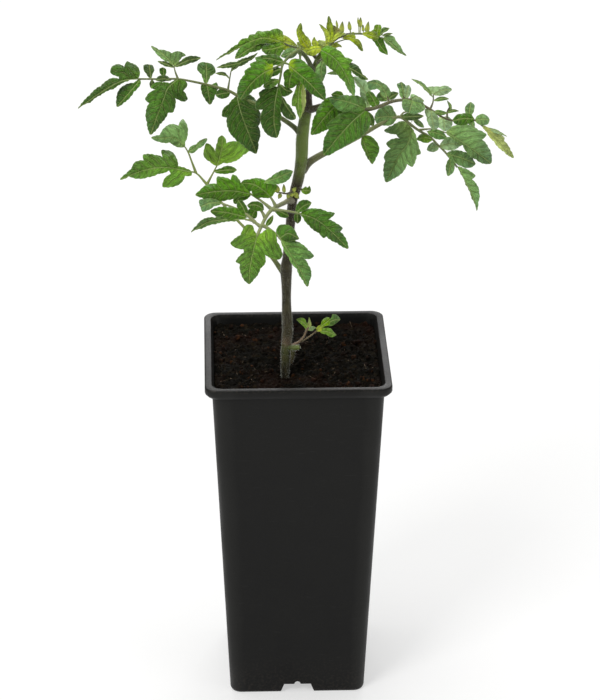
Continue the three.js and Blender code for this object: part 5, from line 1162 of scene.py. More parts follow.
@dataclass(frozen=True)
class Finish:
    """A material made of nodes, which the lay method of each finish gives."""

    name: str

    def lay(self, tree: NodeTree, place: NodeSocket) -> Node:
        """Lays the nodes, from the place on the piece to the shader."""
        raise NotImplementedError

    def make(self) -> Material:
        """Makes the material."""
        material = bpy.data.materials.new(self.name)
        material.use_nodes = True
        tree = material.node_tree
        tree.nodes.clear()
        place = node(tree, "ShaderNodeTexCoord").outputs["Object"]
        node(tree, "ShaderNodeOutputMaterial", (self.lay(tree, place),))
        return material


@dataclass(frozen=True)
class LeafSkin(Finish):
    """Tomato leaf: a thin living blade with a waxy skin over rows of green cells.

    The upper side is deeper and a little glossy, with sunk pale veins; the underside is
    greyer and matt, with raised veins.
    """

    upper: bool

    def lay(self, tree: NodeTree, place: NodeSocket) -> Node:
        """Lays its nodes."""
        tint = node(tree, "ShaderNodeAttribute", attribute_name="tint")
        blade = node(tree, "ShaderNodeAttribute", attribute_name="blade").outputs["Vector"]
        phase, off, rim_gap = node(tree, "ShaderNodeSeparateXYZ", (blade,)).outputs
        green = node(tree, "ShaderNodeSeparateColor", (tint,)).outputs[1]
        # Clouds of a centimetre, a quilted skin between the side veins, and the net of the
        # smallest veins, about 1.2 mm across
        cloud = node(tree, "ShaderNodeTexNoise", {"Vector": place, "Scale": 75.0, "Detail": 3.0})
        grid = node(tree, "ShaderNodeVectorMath", (blade, (4.4, 0.5, 0.0)), operation="MULTIPLY")
        quilt = node(tree, "ShaderNodeTexNoise", {"Vector": grid, "Scale": 1.0, "Detail": 3.0})
        cells = node(tree, "ShaderNodeTexVoronoi", {"Vector": place, "Scale": 800.0},
                     feature="DISTANCE_TO_EDGE")
        # Side veins stand where the phase is whole, 4.5 mm apart; drawn a little wide
        part = phase
        for way in ("ADD", "FRACT", "SUBTRACT", "ABSOLUTE"):
            part = node(tree, "ShaderNodeMath", (part, 0.5), operation=way)
        worn, tone, grown, net, beside, fade, rim = (
            node(tree, "ShaderNodeMapRange", values) for values in (
                (cloud, 0.34, 0.66, 0.8, 1.2),  # older and younger patches
                (quilt, 0.34, 0.66, 0.64, 1.28),  # darker and lighter streaks
                (green, 0.25, 0.85, 1.0, 0.35),  # the palest, youngest blades are smooth
                (cells, 0.0, 0.14, 0.08, 0.0),
                (part, 0.06, 0.3, 0.7, 1.04),  # shade beside each vein
                (rim_gap, 0.3, 2.6, 0.0, 1.0),  # veins end before the rim
                (rim_gap, 0.0, 0.45, 0.4, 0.0)))  # the rim lets light through
        off = node(tree, "ShaderNodeMath", (off,), operation="ABSOLUTE")
        vein, middle = (
            node(tree, "ShaderNodeMapRange", values, interpolation_type="SMOOTHSTEP")
            for values in ((part, 0.02, 0.11, 1.0, 0.0), (off, 0.2, 0.6, 1.2, 0.0)))
        for other in (fade, 0.9):
            vein = node(tree, "ShaderNodeMath", (vein, other), operation="MULTIPLY")
        line = node(tree, "ShaderNodeMath", (vein, middle), operation="MAXIMUM")
        seen = node(tree, "ShaderNodeMath", (line, 0.32 if self.upper else 0.4),
                    operation="MULTIPLY")
        base = tint
        haze, pale = (0.02, "#c3d67a") if self.upper else (0.34, "#b9c9a8")
        for share, other, blend in (
                (haze, linear(pale), "MIX"), (1.0, worn, "MULTIPLY"), (grown, tone, "MULTIPLY"),
                (net, linear("#c9dd78"), "MIX"), (grown, beside, "MULTIPLY"),
                (seen, linear("#c4d67e"), "MIX"), (rim, linear("#b4cb78"), "MIX")):
            base = node(tree, "ShaderNodeMix", {0: share, 6: base, 7: other}, data_type="RGBA",
                        blend_type=blend).outputs[2]
        height = node(tree, "ShaderNodeMath", (quilt, 1.6, cells), operation="MULTIPLY_ADD")
        height = node(tree, "ShaderNodeMath", (line, -0.55 if self.upper else 0.7, height),
                      operation="MULTIPLY_ADD")
        bump = node(tree, "ShaderNodeBump", {
            "Strength": 1.0, "Distance": 0.0013, "Height": height})
        rough = node(tree, "ShaderNodeMapRange", (
            cloud, 0.3, 0.7, *((0.25, 0.38) if self.upper else (0.6, 0.72))))
        return node(tree, "ShaderNodeBsdfPrincipled", {
            "Base Color": base, "Roughness": rough, "Normal": bump,
            "Specular IOR Level": 0.28 if self.upper else 0.2, "Sheen Weight": 0.03,
            "Sheen Roughness": 0.4, "Sheen Tint": linear("#cfdcc4")})


@dataclass(frozen=True)
class StalkSkin(Finish):
    """Tomato stem and leaf stalk: soft green skin over water-filled ribs, purple in strong sun.

    Fine streaks run lengthwise, and small bumps stand where the hairs root.
    """

    streak: str
    speck: str

    def lay(self, tree: NodeTree, place: NodeSocket) -> Node:
        """Lays its nodes."""
        long = node(tree, "ShaderNodeMapping", {"Vector": place, "Scale": (1.0, 1.0, 0.16)})
        lines = node(tree, "ShaderNodeTexNoise", {"Vector": long, "Scale": 900.0, "Detail": 3.0})
        blots = node(tree, "ShaderNodeTexNoise", {"Vector": place, "Scale": 160.0, "Detail": 4.0})
        base = node(tree, "ShaderNodeAttribute", attribute_name="tint")
        for values, shade in (((lines, 0.42, 0.72, 0.0, 0.3), self.streak),
                              ((blots, 0.52, 0.7, 0.0, 0.45), self.speck)):
            share = node(tree, "ShaderNodeMapRange", values)
            base = node(tree, "ShaderNodeMix", {0: share, 6: base, 7: linear(shade)},
                        data_type="RGBA").outputs[2]
        pits = node(tree, "ShaderNodeTexVoronoi", {"Vector": place, "Scale": 1500.0})
        height = node(tree, "ShaderNodeMath", (pits, -0.5, lines), operation="MULTIPLY_ADD")
        bump = node(tree, "ShaderNodeBump", {
            "Strength": 0.6, "Distance": 0.0003, "Height": height})
        return node(tree, "ShaderNodeBsdfPrincipled", {
            "Base Color": base, "Roughness": 0.5, "Normal": bump, "Specular IOR Level": 0.35,
            "Sheen Weight": 0.08, "Sheen Roughness": 0.45, "Sheen Tint": linear("#d9dcc6")})


@dataclass(frozen=True)
class HairSkin(Finish):
    """Plant hair: clear cells full of water, which look silver where the light is behind."""

    name: str = "plant_hair"
    dull: str = "#ccd0bd"
    bright: str = "#fbfcf4"

    def lay(self, tree: NodeTree, place: NodeSocket) -> Node:
        """Lays its nodes."""
        patch = node(tree, "ShaderNodeTexNoise", {"Vector": place, "Scale": 240.0})
        base = node(tree, "ShaderNodeMix", {
            0: patch, 6: linear(self.dull), 7: linear(self.bright)}, data_type="RGBA").outputs[2]
        return node(tree, "ShaderNodeBsdfPrincipled", {
            "Base Color": base, "Roughness": 0.35, "Specular IOR Level": 0.5})


@dataclass(frozen=True)
class PotPlastic(Finish):
    """Nursery pot: thin black polypropylene, moulded, with a fine satin grain.

    It greys where rubbing wore it, its upright corners carry a painted highlight, and dust
    from the compost lies in the grain. half is the pot's half width at its foot and where its
    wall ends, tall metres up.
    """

    name: str = "black_polypropylene"
    foot: str = "#030302"
    top: str = "#0c0c0a"
    rubbed_and_highlit: str = "#1d1d1b"
    scratched: str = "#2c2c2c"
    dust: str = "#3a332c"
    half: tuple[float, float] = (0.04125, 0.0507)
    tall: float = 0.209

    def lay(self, tree: NodeTree, place: NodeSocket) -> Node:
        """Lays its nodes."""
        x, y, z = node(tree, "ShaderNodeSeparateXYZ", (place,)).outputs
        # Painted highlight on the four upright corners: there x and y are both near the half width
        half = node(tree, "ShaderNodeMapRange", (z, 0.0, self.tall, *self.half), clamp=False)
        x, y = (node(tree, "ShaderNodeMath", (side,), operation="ABSOLUTE") for side in (x, y))
        near = node(tree, "ShaderNodeMath", (x, y), operation="ADD")
        near = node(tree, "ShaderNodeMath", (near, half), operation="DIVIDE")
        corner = node(tree, "ShaderNodeMapRange", (near, 1.7, 1.9, 0.0, 0.8),
                      interpolation_type="SMOOTHSTEP")
        # The marks are thin scratches of a few centimetres, mostly level, from stacking
        level = node(tree, "ShaderNodeMapping", {"Vector": place, "Scale": (0.12, 0.12, 1.0)})
        cloud, marks, grit, grain, wavy = (
            node(tree, "ShaderNodeTexNoise", {"Vector": spot, "Scale": scale, "Detail": detail})
            for spot, scale, detail in (
                (place, 34.0, 5.0), (level, 900.0, 2.0), (place, 620.0, 4.0),
                (place, 2200.0, 2.0), (place, 26.0, 2.0)))
        rise, rub_and_highlight, scratch, high, low, lies, rough = (
            node(tree, "ShaderNodeMapRange", values) for values in (
                (z, 0.0, self.tall),
                (cloud, 0.4, 0.75, 0.0, 0.35),
                (marks, 0.66, 0.78, 0.0, 0.28),
                (z, 0.2125, 0.2152, 0.0, 0.5),  # compost dust along the rim
                (z, 0.0, 0.03, 0.3, 0.0),  # and splashed at the foot
                (grit, 0.48, 0.66, 0.0, 1.0),
                (cloud, 0.3, 0.7, 0.38, 0.55)))
        # The painted corner highlight joins the real rubbed patches in one mask
        rub_and_highlight = node(tree, "ShaderNodeMath", (rub_and_highlight, corner), operation="MAXIMUM")
        where = node(tree, "ShaderNodeMath", (high, low), operation="ADD")
        lies = node(tree, "ShaderNodeMath", (lies, where), operation="MULTIPLY")
        # Painted shade: the wall darker towards the foot and lighter towards the top
        base = linear(self.foot)
        for share, shade in ((rise, self.top), (rub_and_highlight, self.rubbed_and_highlit), (scratch, self.scratched),
                             (lies, self.dust)):
            base = node(tree, "ShaderNodeMix", {0: share, 6: base, 7: linear(shade)},
                        data_type="RGBA").outputs[2]
        height = node(tree, "ShaderNodeMath", (wavy, 3.0, grain), operation="MULTIPLY_ADD")
        bump = node(tree, "ShaderNodeBump", {
            "Strength": 0.22, "Distance": 0.0004, "Height": height})
        return node(tree, "ShaderNodeBsdfPrincipled", {
            "Base Color": base, "Roughness": rough, "Normal": bump, "Specular IOR Level": 0.2})


@dataclass(frozen=True)
class Compost(Finish):
    """Potting compost: damp peat and bark, in crumbs of one to three millimetres.

    red is the colour of patches of bark, two to four centimetres across.
    """

    dark: str
    middle: str
    pale: str
    red: str = "#2b150c"

    def lay(self, tree: NodeTree, place: NodeSocket) -> Node:
        """Lays its nodes."""
        damp, patch, grit = (
            node(tree, "ShaderNodeTexNoise", {"Vector": place, "Scale": scale, "Detail": detail})
            for scale, detail in ((110.0, 6.0), (32.0, 3.0), (1900.0, 4.0)))
        crumbs = node(tree, "ShaderNodeTexVoronoi", {"Vector": place, "Scale": 560.0})
        pick = node(tree, "ShaderNodeSeparateColor", (crumbs.outputs["Color"],))
        red, light = (node(tree, "ShaderNodeMapRange", values) for values in (
            (patch, 0.5, 0.64, 0.0, 0.4), (pick, 0.72, 1.0, 0.0, 0.75)))
        base = linear(self.dark)
        for share, shade in ((damp, self.middle), (red, self.red), (light, self.pale)):
            base = node(tree, "ShaderNodeMix", {0: share, 6: base, 7: linear(shade)},
                        data_type="RGBA").outputs[2]
        height = node(tree, "ShaderNodeMath", (crumbs, -1.4, grit), operation="MULTIPLY_ADD")
        bump = node(tree, "ShaderNodeBump", {
            "Strength": 0.9, "Distance": 0.0009, "Height": height})
        return node(tree, "ShaderNodeBsdfPrincipled", {
            "Base Color": base, "Roughness": 0.93, "Normal": bump, "Specular IOR Level": 0.1})


@dataclass(frozen=True)
class LitTable(Finish):
    """Studio table: white acrylic lit from below, with a barely seen tooth."""

    name: str = "lit_table"
    shade: str = "#bebebd"
    tooth: str = "#c2c2c1"
    glow: float = 0.5

    def lay(self, tree: NodeTree, place: NodeSocket) -> Node:
        """Lays its nodes."""
        fine = node(tree, "ShaderNodeTexNoise", {"Vector": place, "Scale": 300.0})
        base = node(tree, "ShaderNodeMix", {
            0: fine, 6: linear(self.shade), 7: linear(self.tooth)}, data_type="RGBA").outputs[2]
        return node(tree, "ShaderNodeBsdfPrincipled", {
            "Base Color": base, "Roughness": 0.9, "Specular IOR Level": 0.1,
            "Emission Color": linear(WHITE), "Emission Strength": self.glow})


class Finishes:
    """The plant's materials, made once."""

    def __init__(self) -> None:
        """Makes them."""
        self.upper = LeafSkin("leaf_upper_side", True).make()
        self.under = LeafSkin("leaf_underside", False).make()
        self.stalk = StalkSkin("leaf_stalk", "#86935a", "#3c3a26").make()
        self.stem = StalkSkin("main_stem", "#7c7350", "#251a18").make()
        self.bud = StalkSkin("sepals", "#c9cc62", "#6f8433").make()
        self.hair = HairSkin().make()


class Crumb(Enum):
    """What is strewn over a surface."""

    HAIR = "hair"
    CRUMB = "crumb"
    FIBRE = "fibre"


@dataclass(frozen=True)
class Strewing:
    """Geometry Nodes that strew small shapes over a surface.

    density counts them on a square millimetre, sizes are in millimetres and tilt is in
    radians.
    """

    name: str
    shape: Crumb
    density: float
    least: float
    most: float
    tilt: float
    seed: int

    def instance(self, tree: NodeTree) -> Node:
        """Adds the shape, one metre in size."""
        if self.shape is Crumb.HAIR:
            return node(tree, "GeometryNodeMeshCone", {
                "Vertices": 3, "Radius Top": 0.0, "Radius Bottom": 0.032, "Depth": 1.0})
        if self.shape is Crumb.FIBRE:
            made = node(tree, "GeometryNodeMeshCylinder", {
                "Vertices": 5, "Side Segments": 4, "Radius": 0.045, "Depth": 1.0})
            bend, size = 0.35, 1.6
        else:
            made = node(tree, "GeometryNodeMeshIcoSphere", {"Radius": 0.5, "Subdivisions": 2})
            bend, size = 0.75, 1.9
        rough = node(tree, "ShaderNodeTexNoise", {"Scale": size, "Detail": 1.0})
        off = node(tree, "ShaderNodeVectorMath", (rough.outputs["Color"], (0.5, 0.5, 0.5)),
                   operation="SUBTRACT")
        off = node(tree, "ShaderNodeVectorMath", {0: off, 3: bend}, operation="SCALE")
        return node(tree, "GeometryNodeSetPosition", {"Geometry": made, "Offset": off})

    def build_tree(self, material: Material) -> tuple[NodeTree, dict[str, str]]:
        """Builds the nodes.

        Args:
            material: What the small shapes are made of.

        Returns:
            The tree, and each named input's identifier.
        """
        tree = bpy.data.node_groups.new(self.name, "GeometryNodeTree")
        face = tree.interface
        face.new_socket("Surface", in_out="INPUT", socket_type="NodeSocketGeometry")
        kinds = dict.fromkeys(("Density", "Least", "Most", "Tilt"), "NodeSocketFloat")
        keys = {name: face.new_socket(name, in_out="INPUT", socket_type=kind).identifier
                for name, kind in (kinds | {"Seed": "NodeSocketInt"}).items()}
        face.new_socket("Strewn", in_out="OUTPUT", socket_type="NodeSocketGeometry")
        given = node(tree, "NodeGroupInput").outputs
        tilt, seed = given["Tilt"], given["Seed"]
        spots = node(tree, "GeometryNodeDistributePointsOnFaces", {
            "Mesh": given["Surface"], "Density": given["Density"], "Seed": seed})
        size = node(tree, "FunctionNodeRandomValue", {
            2: given["Least"], 3: given["Most"], 8: seed}, data_type="FLOAT").outputs[1]
        down = node(tree, "ShaderNodeMath", (tilt, -1.0), operation="MULTIPLY")
        low = node(tree, "ShaderNodeCombineXYZ", (down, down, 0.0))
        high = node(tree, "ShaderNodeCombineXYZ", (tilt, tilt, math.pi))
        lean = node(tree, "FunctionNodeRandomValue", {0: low, 1: high, 8: seed},
                    data_type="FLOAT_VECTOR")
        lean = node(tree, "FunctionNodeEulerToRotation", (lean,))
        way = node(tree, "FunctionNodeRotateRotation", (spots.outputs["Rotation"], lean),
                   rotation_space="LOCAL")
        strewn = node(tree, "GeometryNodeInstanceOnPoints", {
            "Points": spots, "Instance": self.instance(tree), "Rotation": way, "Scale": size})
        real = node(tree, "GeometryNodeRealizeInstances", (strewn,))
        dressed = node(tree, "GeometryNodeSetMaterial", {"Geometry": real, "Material": material})
        node(tree, "NodeGroupOutput", (dressed,))
        return tree, keys

    def strew(self, surface: Object, material: Material) -> Object:
        """Strews the shapes over an object, which is used up.

        Args:
            surface: The object whose faces they stand on.
            material: What they are made of.

        Returns:
            The new object, a plain mesh.
        """
        tree, keys = self.build_tree(material)
        modifier = surface.modifiers.new(self.name, "NODES")
        modifier.node_group = tree
        for name, value in (("Density", self.density / MM ** 2), ("Least", self.least * MM),
                            ("Most", self.most * MM), ("Tilt", self.tilt), ("Seed", self.seed)):
            modifier[keys[name]] = value
        return settled(self.name, surface)


def hand_over(piece: Object, slot: str, *nodes: str) -> None:
    """Binds a finished piece to the frame and reports it."""
    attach(piece, "root")
    if nodes:
        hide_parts(*nodes)
    piece.data.calc_loop_triangles()
    log.info("%s: %d triangles, replaces %s", piece.name, len(piece.data.loop_triangles),
             ", ".join(nodes) or "nothing")


def square_ring(half: float, corner: float, height: float, steps: int = 12) -> np.ndarray:
    """Returns a level ring round a square with round corners, seen from above anticlockwise."""
    ring = []
    for quarter in range(4):
        a = quarter * math.pi / 2
        middle = (half - corner) * math.sqrt(2)
        x, y = middle * math.cos(a + math.pi / 4), middle * math.sin(a + math.pi / 4)
        ring += [(x + corner * math.cos(a + math.pi / 2 * i / steps),
                  y + corner * math.sin(a + math.pi / 2 * i / steps), height)
                 for i in range(steps + 1)]
    return np.array(ring)


@dataclass
class Pot:
    """The deep square nursery pot, with its flat lip over a short skirt."""

    height: float = 215.0
    rim_half: float = 55.0
    skirt: float = 6.0
    rim_corner: float = 7.2
    lip: float = 4.2
    top_half: float = 50.7
    foot_half: float = 41.25
    corner: float = 7.0
    wall: float = 1.2
    floor_under: float = 9.0
    floor_top: float = 10.4
    notch_foot: float = 10.8
    notch_top: float = 8.2
    notch_height: float = 6.0
    notch_bump: float = 1.9
    drain: float = 4.0
    drain_spread: float = 21.0
    drain_sides: int = 32
    crease: float = 38.0

    def wall_half(self, z: float) -> float:
        """Returns half the pot's width at a height."""
        return self.foot_half + (self.top_half - self.foot_half) * z / (self.height - self.skirt)

    def rings(self) -> list[np.ndarray]:
        """Returns the rings from the underside of the floor, round the rim, to its top."""
        half, wall, corner, round_rim = self.wall_half, self.wall, self.corner, self.rim_corner
        skirt, top, rim, inner = self.height - self.skirt, self.height, self.rim_half, corner - 1
        under, floor, lip = self.floor_under, self.floor_top, self.rim_half - self.lip
        profile = (
            (half(9) - wall - 1.2, corner - 2.4, under),
            (half(9) - wall - 0.4, corner - 1.8, under - 0.4),
            (half(8) - wall, corner - 1.5, under - 1.4),
            (half(0) - wall - 0.6, corner - 1.5, 0.3), (half(0) - wall - 0.3, corner - 1.4, 0.0),
            (half(0) - 1.1, corner - 1.2, 0.0), (half(0) - 0.7, inner, 0.3),
            (half(1.5) - 0.1, corner, 1.4),
            *((half(z), corner, z) for z in (2.0, 40.0, 80.0, 120.0, 160.0, 190.0)),
            (half(skirt) + 0.02, corner, skirt), (half(skirt) + 0.02, corner, top - 1.6),
            (half(skirt) + 0.3, corner, top - 1.3), (rim - 1.5, round_rim - 1, top - 1.3),
            (rim - 1.3, round_rim - 1, top - 1.6), (rim - 1.3, round_rim - 1, skirt + 2.2),
            (rim - 2.0, round_rim - 1, skirt + 0.15), (rim - 1.8, round_rim - 0.5, skirt),
            (rim - 1.35, round_rim, skirt + 0.1), (rim - 0.2, round_rim, skirt + 1.8),
            (rim, round_rim, skirt + 2.4), (rim, round_rim, top - 0.9),
            (rim - 0.12, round_rim, top - 0.45), (rim - 0.4, round_rim, top - 0.12),
            (rim - 0.8, round_rim - 0.2, top), (lip + 0.7, round_rim - 0.9, top),
            (lip + 0.2, round_rim - 1, top - 0.2), (lip - 0.05, round_rim - 1, top - 0.7),
            (half(skirt) - wall, inner, top - 2.6),
            *((half(z) - wall, inner, z) for z in (160.0, 100.0, 50.0)),
            (half(floor) - wall, inner, floor + 1), (half(floor) - wall - 0.9, corner - 1.8, floor))
        return [square_ring(*ring) for ring in profile]

    def solid(self, name: str, rings: list[np.ndarray]) -> Object:
        """Makes a closed object from rings in millimetres, the first one facing out below."""
        count, total = len(rings[0]), len(rings)
        ends = [tuple(range(count))[::-1], tuple(range((total - 1) * count, total * count))]
        mesh = bpy.data.meshes.new(name)
        mesh.from_pydata((np.concatenate(rings) * MM).tolist(), [],
                         [ends[0], *bands(total, count), ends[1]])
        return linked(name, mesh)

    def cutters(self) -> list[Object]:
        """Makes the two notch bars and the five drain plugs."""
        arc = [(self.notch_bump * math.cos(a), self.notch_height + self.notch_bump * math.sin(a))
               for a in np.linspace(0, math.pi, 13)]
        face = [(-self.notch_foot, -1), (self.notch_foot, -1), (self.notch_top, self.notch_height),
                *arc, (-self.notch_top, self.notch_height)]
        reach = self.foot_half * 1.5
        bar = [np.array([(x, y, z) for x, z in face]) for y in (reach, -reach)]
        made = [self.solid("notch", bar),
                self.solid("notch", [ring[:, (1, 0, 2)] * (-1, 1, 1) for ring in bar])]
        turns = np.linspace(0, 2 * math.pi, self.drain_sides, endpoint=False)
        for x, y in ((0, 0), (1, 1), (1, -1), (-1, 1), (-1, -1)):
            made.append(self.solid("drain", [
                np.array([(x * self.drain_spread + self.drain * math.cos(a),
                           y * self.drain_spread + self.drain * math.sin(a), z) for a in turns])
                for z in (self.floor_under - 3, self.floor_top + 3.6)]))
        return made

    def build(self) -> None:
        """Builds the pot and dresses it."""
        blank, cutters = self.solid("pot_blank", self.rings()), self.cutters()
        for cutter in cutters:
            cut = blank.modifiers.new("cut", "BOOLEAN")
            cut.operation, cut.solver, cut.object = "DIFFERENCE", "EXACT", cutter
        piece = settled("nursery_pot", blank)
        for spent in cutters:
            bpy.data.objects.remove(spent)
        mesh = piece.data
        mesh.materials.clear()
        mesh.materials.append(PotPlastic().make())
        mesh.shade_smooth()
        mesh.set_sharp_from_angle(angle=math.radians(self.crease))
        hand_over(piece, "pot_plastic", "pot")


@dataclass
class CompostBed:
    """The compost that fills the pot, with loose crumbs and fibres on it."""

    pot: Pot
    level: float = 210.0
    shoulder: float = 200.0
    lump: float = 1.1
    grit: float = 1.1
    dip: float = 5.0
    dip_reach: float = 13.0
    gap: float = 0.35
    floor_gap: float = 0.3
    rounding: float = 0.1
    rings: int = 64
    steps: int = 60
    arc_steps: int = 14

    def crumb(self, x: np.ndarray, y: np.ndarray) -> np.ndarray:
        """Returns the broad unevenness, from -1 to 1."""
        return (np.sin(0.93 * x + 0.37 * y) + np.sin(1.21 * y - 0.52 * x + 1.7)
                + np.sin(0.41 * x + 2.3) * np.cos(0.47 * y - 0.6)) / 3

    def surface(self, points: np.ndarray) -> np.ndarray:
        """Lifts level points to the compost's surface, with its fine crumbs."""
        foot = VIEW.seen(np.array([STEM_FOOT[:2]], float), np.array([STEM_FOOT[2]], float))[0]
        away = np.hypot(points[:, 0] - foot[0], points[:, 1] - foot[1]) / self.dip_reach
        height = (self.level + self.lump * self.crumb(points[:, 0], points[:, 1])
                  - self.dip * np.exp(-away ** 2))
        fine = np.array([noise.turbulence(Vector((x * 0.36, y * 0.36, 3.0)), 5, False)
                         + 1.3 * noise.noise(Vector((x * 0.13, y * 0.13, 9.0)))
                         for x, y in points[:, :2]])
        return np.column_stack([points[:, :2], height + self.grit * (fine - 0.6)])

    def ring(self, half: float, corner: float, height: float) -> np.ndarray:
        """Returns a square ring with its points spread evenly along it."""
        ring = square_ring(half, corner, height, self.arc_steps)
        closed = np.concatenate([ring, ring[:1]])
        along = travelled(closed)
        at = np.linspace(0, along[-1], 4 * self.steps + 1)[:-1]
        return np.column_stack([np.interp(at, along, closed[:, k]) for k in range(3)])

    def build(self) -> None:
        """Builds and dresses the bed, its crumbs and its fibres."""
        pot = self.pot
        corner, floor = pot.corner - pot.wall, pot.floor_top + self.floor_gap
        low, high = (pot.wall_half(z) - pot.wall - self.gap for z in (floor, self.level))
        tops = [self.ring((high - self.rounding) * share, corner * share, 0)
                for share in 1 - np.arange(self.rings) / self.rings]
        top = self.surface(np.concatenate([*tops, np.zeros((1, 3))]))
        count = 4 * self.steps
        last = (self.rings - 1) * count
        lid = [*bands(self.rings, count),
               *((last + i, last + (i + 1) % count, last + count) for i in range(count))]
        shell = Shell()
        shell.add(np.concatenate([self.ring(low, corner, floor),
                                  self.ring(high, corner, self.shoulder), top]),
                  [tuple(range(count))[::-1], *bands(3, count),
                   *(tuple(i + 2 * count for i in face) for face in lid)], 0, np.ones(4))
        compost = Compost("potting_compost", "#070604", "#13110a", "#282114")
        hand_over(shell.to_object("compost_bed", [compost.make()], 180), "soil", "soil")
        self.strew(top, lid)

    def strew(self, points: np.ndarray, faces: list[tuple]) -> None:
        """Strews loose crumbs, bark and fibres on the surface."""
        for strewing, compost in (
                (Strewing("compost_crumbs", Crumb.CRUMB, 0.15, 0.5, 1.7, 1.5, 3),
                 Compost("loose_crumbs", "#070604", "#17120b", "#2e2417")),
                (Strewing("bark_chips", Crumb.CRUMB, 0.010, 1.6, 4.2, 1.5, 5),
                 Compost("bark", "#0e0b09", "#22170f", "#4c2f18", "#34190d")),
                (Strewing("root_fibres", Crumb.FIBRE, 0.014, 2.0, 7.0, 1.45, 8),
                 Compost("fibres", "#17130f", "#3d3126", "#8a7a68"))):
            surface = Shell()
            surface.add(points, faces, 0, np.ones(4))
            piece = strewing.strew(surface.to_object("surface", []), compost.make())
            piece.data.shade_smooth()
            hand_over(piece, "soil")


@dataclass
class MainStem:
    """The upright stem, thick and brown below, green and purple above.

    shades gives its colour at rows of the picture, from the top down.
    """

    finishes: Finishes
    sides: int = 24
    step: float = 1.6
    scar_step: float = 1.2
    uneven: float = 0.05
    waver: float = 0.11
    painted_light: float = 0.3
    buried: int = 6
    stub: tuple[Pick, ...] = ((288, 347.8, -16), (291.5, 347.8, -17.5), (296, 347.6, -18.3),
                              (299.2, 347.4, -18.6))
    ridge: tuple[Pick, ...] = ((292.5, 346.5, -17), (292.8, 350.5, -17.5), (292.6, 356, -17.5),
                               (291.5, 363, -16.5))
    # The darkest rows, 366 and 377, are painted shade at the stem's foot by the compost
    shades: tuple[tuple[float, str], ...] = (
        (40, "#7d8a3c"), (70, "#66773a"), (86, "#3c3026"), (108, "#382b23"), (118, "#6b8230"),
        (160, "#5c7224"), (186, "#30241b"), (228, "#2b2119"), (246, "#332c19"), (300, "#2e2a10"),
        (334, "#322c12"), (342, "#6b5a45"), (346, "#434c1a"), (360, "#393c18"), (366, "#25220f"),
        (377, "#1b170d"))

    def colour(self, rows: np.ndarray) -> np.ndarray:
        """Returns the colour at each picture row."""
        stops = [row for row, _ in self.shades]
        shades = colours(*(shade for _, shade in self.shades))
        return np.column_stack([np.interp(rows, stops, shades[:, k]) for k in range(4)])

    def add_scar(self, shell: Shell, fuzz: Shell) -> None:
        """Adds the green stub of a leaf that was cut off, and the ridge that runs down from it."""
        for picks, radii, shades in (
                (self.stub, (1.5, 1.75, 1.6, 1.35), ("#434f20", "#6a7a36")),
                (self.ridge, (0.8, 1.35, 1.2, 0.6), ("#50562c", "#4a3d28"))):
            rows = flow(np.column_stack([np.array(picks, float), radii]), self.scar_step)
            points, faces = tube(VIEW.seen(rows, rows[:, 2]), rows[:, 3], self.sides)
            tint = graded(shades, np.linspace(0, 1, len(rows)), self.sides)
            for skin in (shell, fuzz):
                skin.add(points, faces, 0, tint)

    def build(self, fuzz: Shell) -> None:
        """Builds the stem, and adds it to the surface that hairs grow on."""
        rows = flow(np.array([(*STEM_FOOT, STEM_FOOT_RADIUS), *STEM], float), self.step)
        path, below, sides = VIEW.seen(rows, rows[:, 2]), self.buried, self.sides
        uneven = np.array([noise.noise(Vector((a * self.waver, 0, 5))) for a in travelled(path)])
        radii = rows[:, 3] * (1 + self.uneven * uneven)
        foot = np.array([path[0] - (0, 0, STEM_DEEP * (1 - i / below)) for i in range(below)])
        path = np.concatenate([foot, path])
        radii = np.concatenate([np.full(below, radii[0]), radii])
        points, faces = tube(path, radii, sides)
        shade = self.colour(np.concatenate([np.full(below, STEM_FOOT[1]), rows[:, 1]]))
        tint = np.concatenate([np.repeat(shade, sides, axis=0), shade[:1], shade[-1:]])
        # Painted light: the stem lighter on its right side and darker on its left
        across = (points[:-2, 0] - np.repeat(path[:, 0], sides)) / np.repeat(radii, sides)
        tint[:-2, :3] *= 1 + self.painted_light * across[:, None]
        shell = Shell()
        shell.add(points, faces, 0, tint)
        self.add_scar(shell, fuzz)
        hand_over(shell.to_object("main_stem", [self.finishes.stem]), "stem", "stem")
        fuzz.add(points, faces, 0, tint)


@dataclass
class Foliage:
    """All the leaves, each a stalk with side stalks and leaflets."""

    finishes: Finishes
    blades: BladeMaker = field(default_factory=BladeMaker)
    stalks: StalkMaker = field(default_factory=StalkMaker)
    slim: float = 0.6

    def build_leaf(self, leaf: Leaf, seed: int, fuzz: Shell) -> None:
        """Builds and dresses one leaf.

        Args:
            leaf: Its picks.
            seed: Starts its random draws.
            fuzz: The surface that hairs grow on.
        """
        shell, finishes, thin, rest = Shell(), self.finishes, leaf.thick[1], leaf.shades[1]
        stalks = [self.stalks.make([shell, fuzz], np.array(leaf.stalk, float), leaf.thick,
                                   leaf.shades)]
        for twig in leaf.twigs:
            spring = spring_from(stalks, twig[0])
            picks = np.array([(x, y, spring.depth + self.stalks.lean * (twig[0][1] - y))
                              for x, y in twig])
            picks[0, :2] = spring.place
            stalks.append(self.stalks.make([shell, fuzz], picks, (thin, thin * self.slim),
                                           (rest, rest)))
        for i, leaflet in enumerate(leaf.leaflets):
            self.blades.make(shell, leaflet, spring_from(stalks, leaflet.rib[0]), seed * 100 + i)
        piece = shell.to_object(f"{leaf.name}_grown",
                                [finishes.upper, finishes.under, finishes.stalk])
        young = leaf.name.startswith("shoot")
        hand_over(piece, "young_leaf" if young else "leaf", leaf.name)

    def build(self, fuzz: Shell) -> None:
        """Builds every leaf."""
        for i, leaf in enumerate(LEAVES):
            self.build_leaf(leaf, i + 1, fuzz)


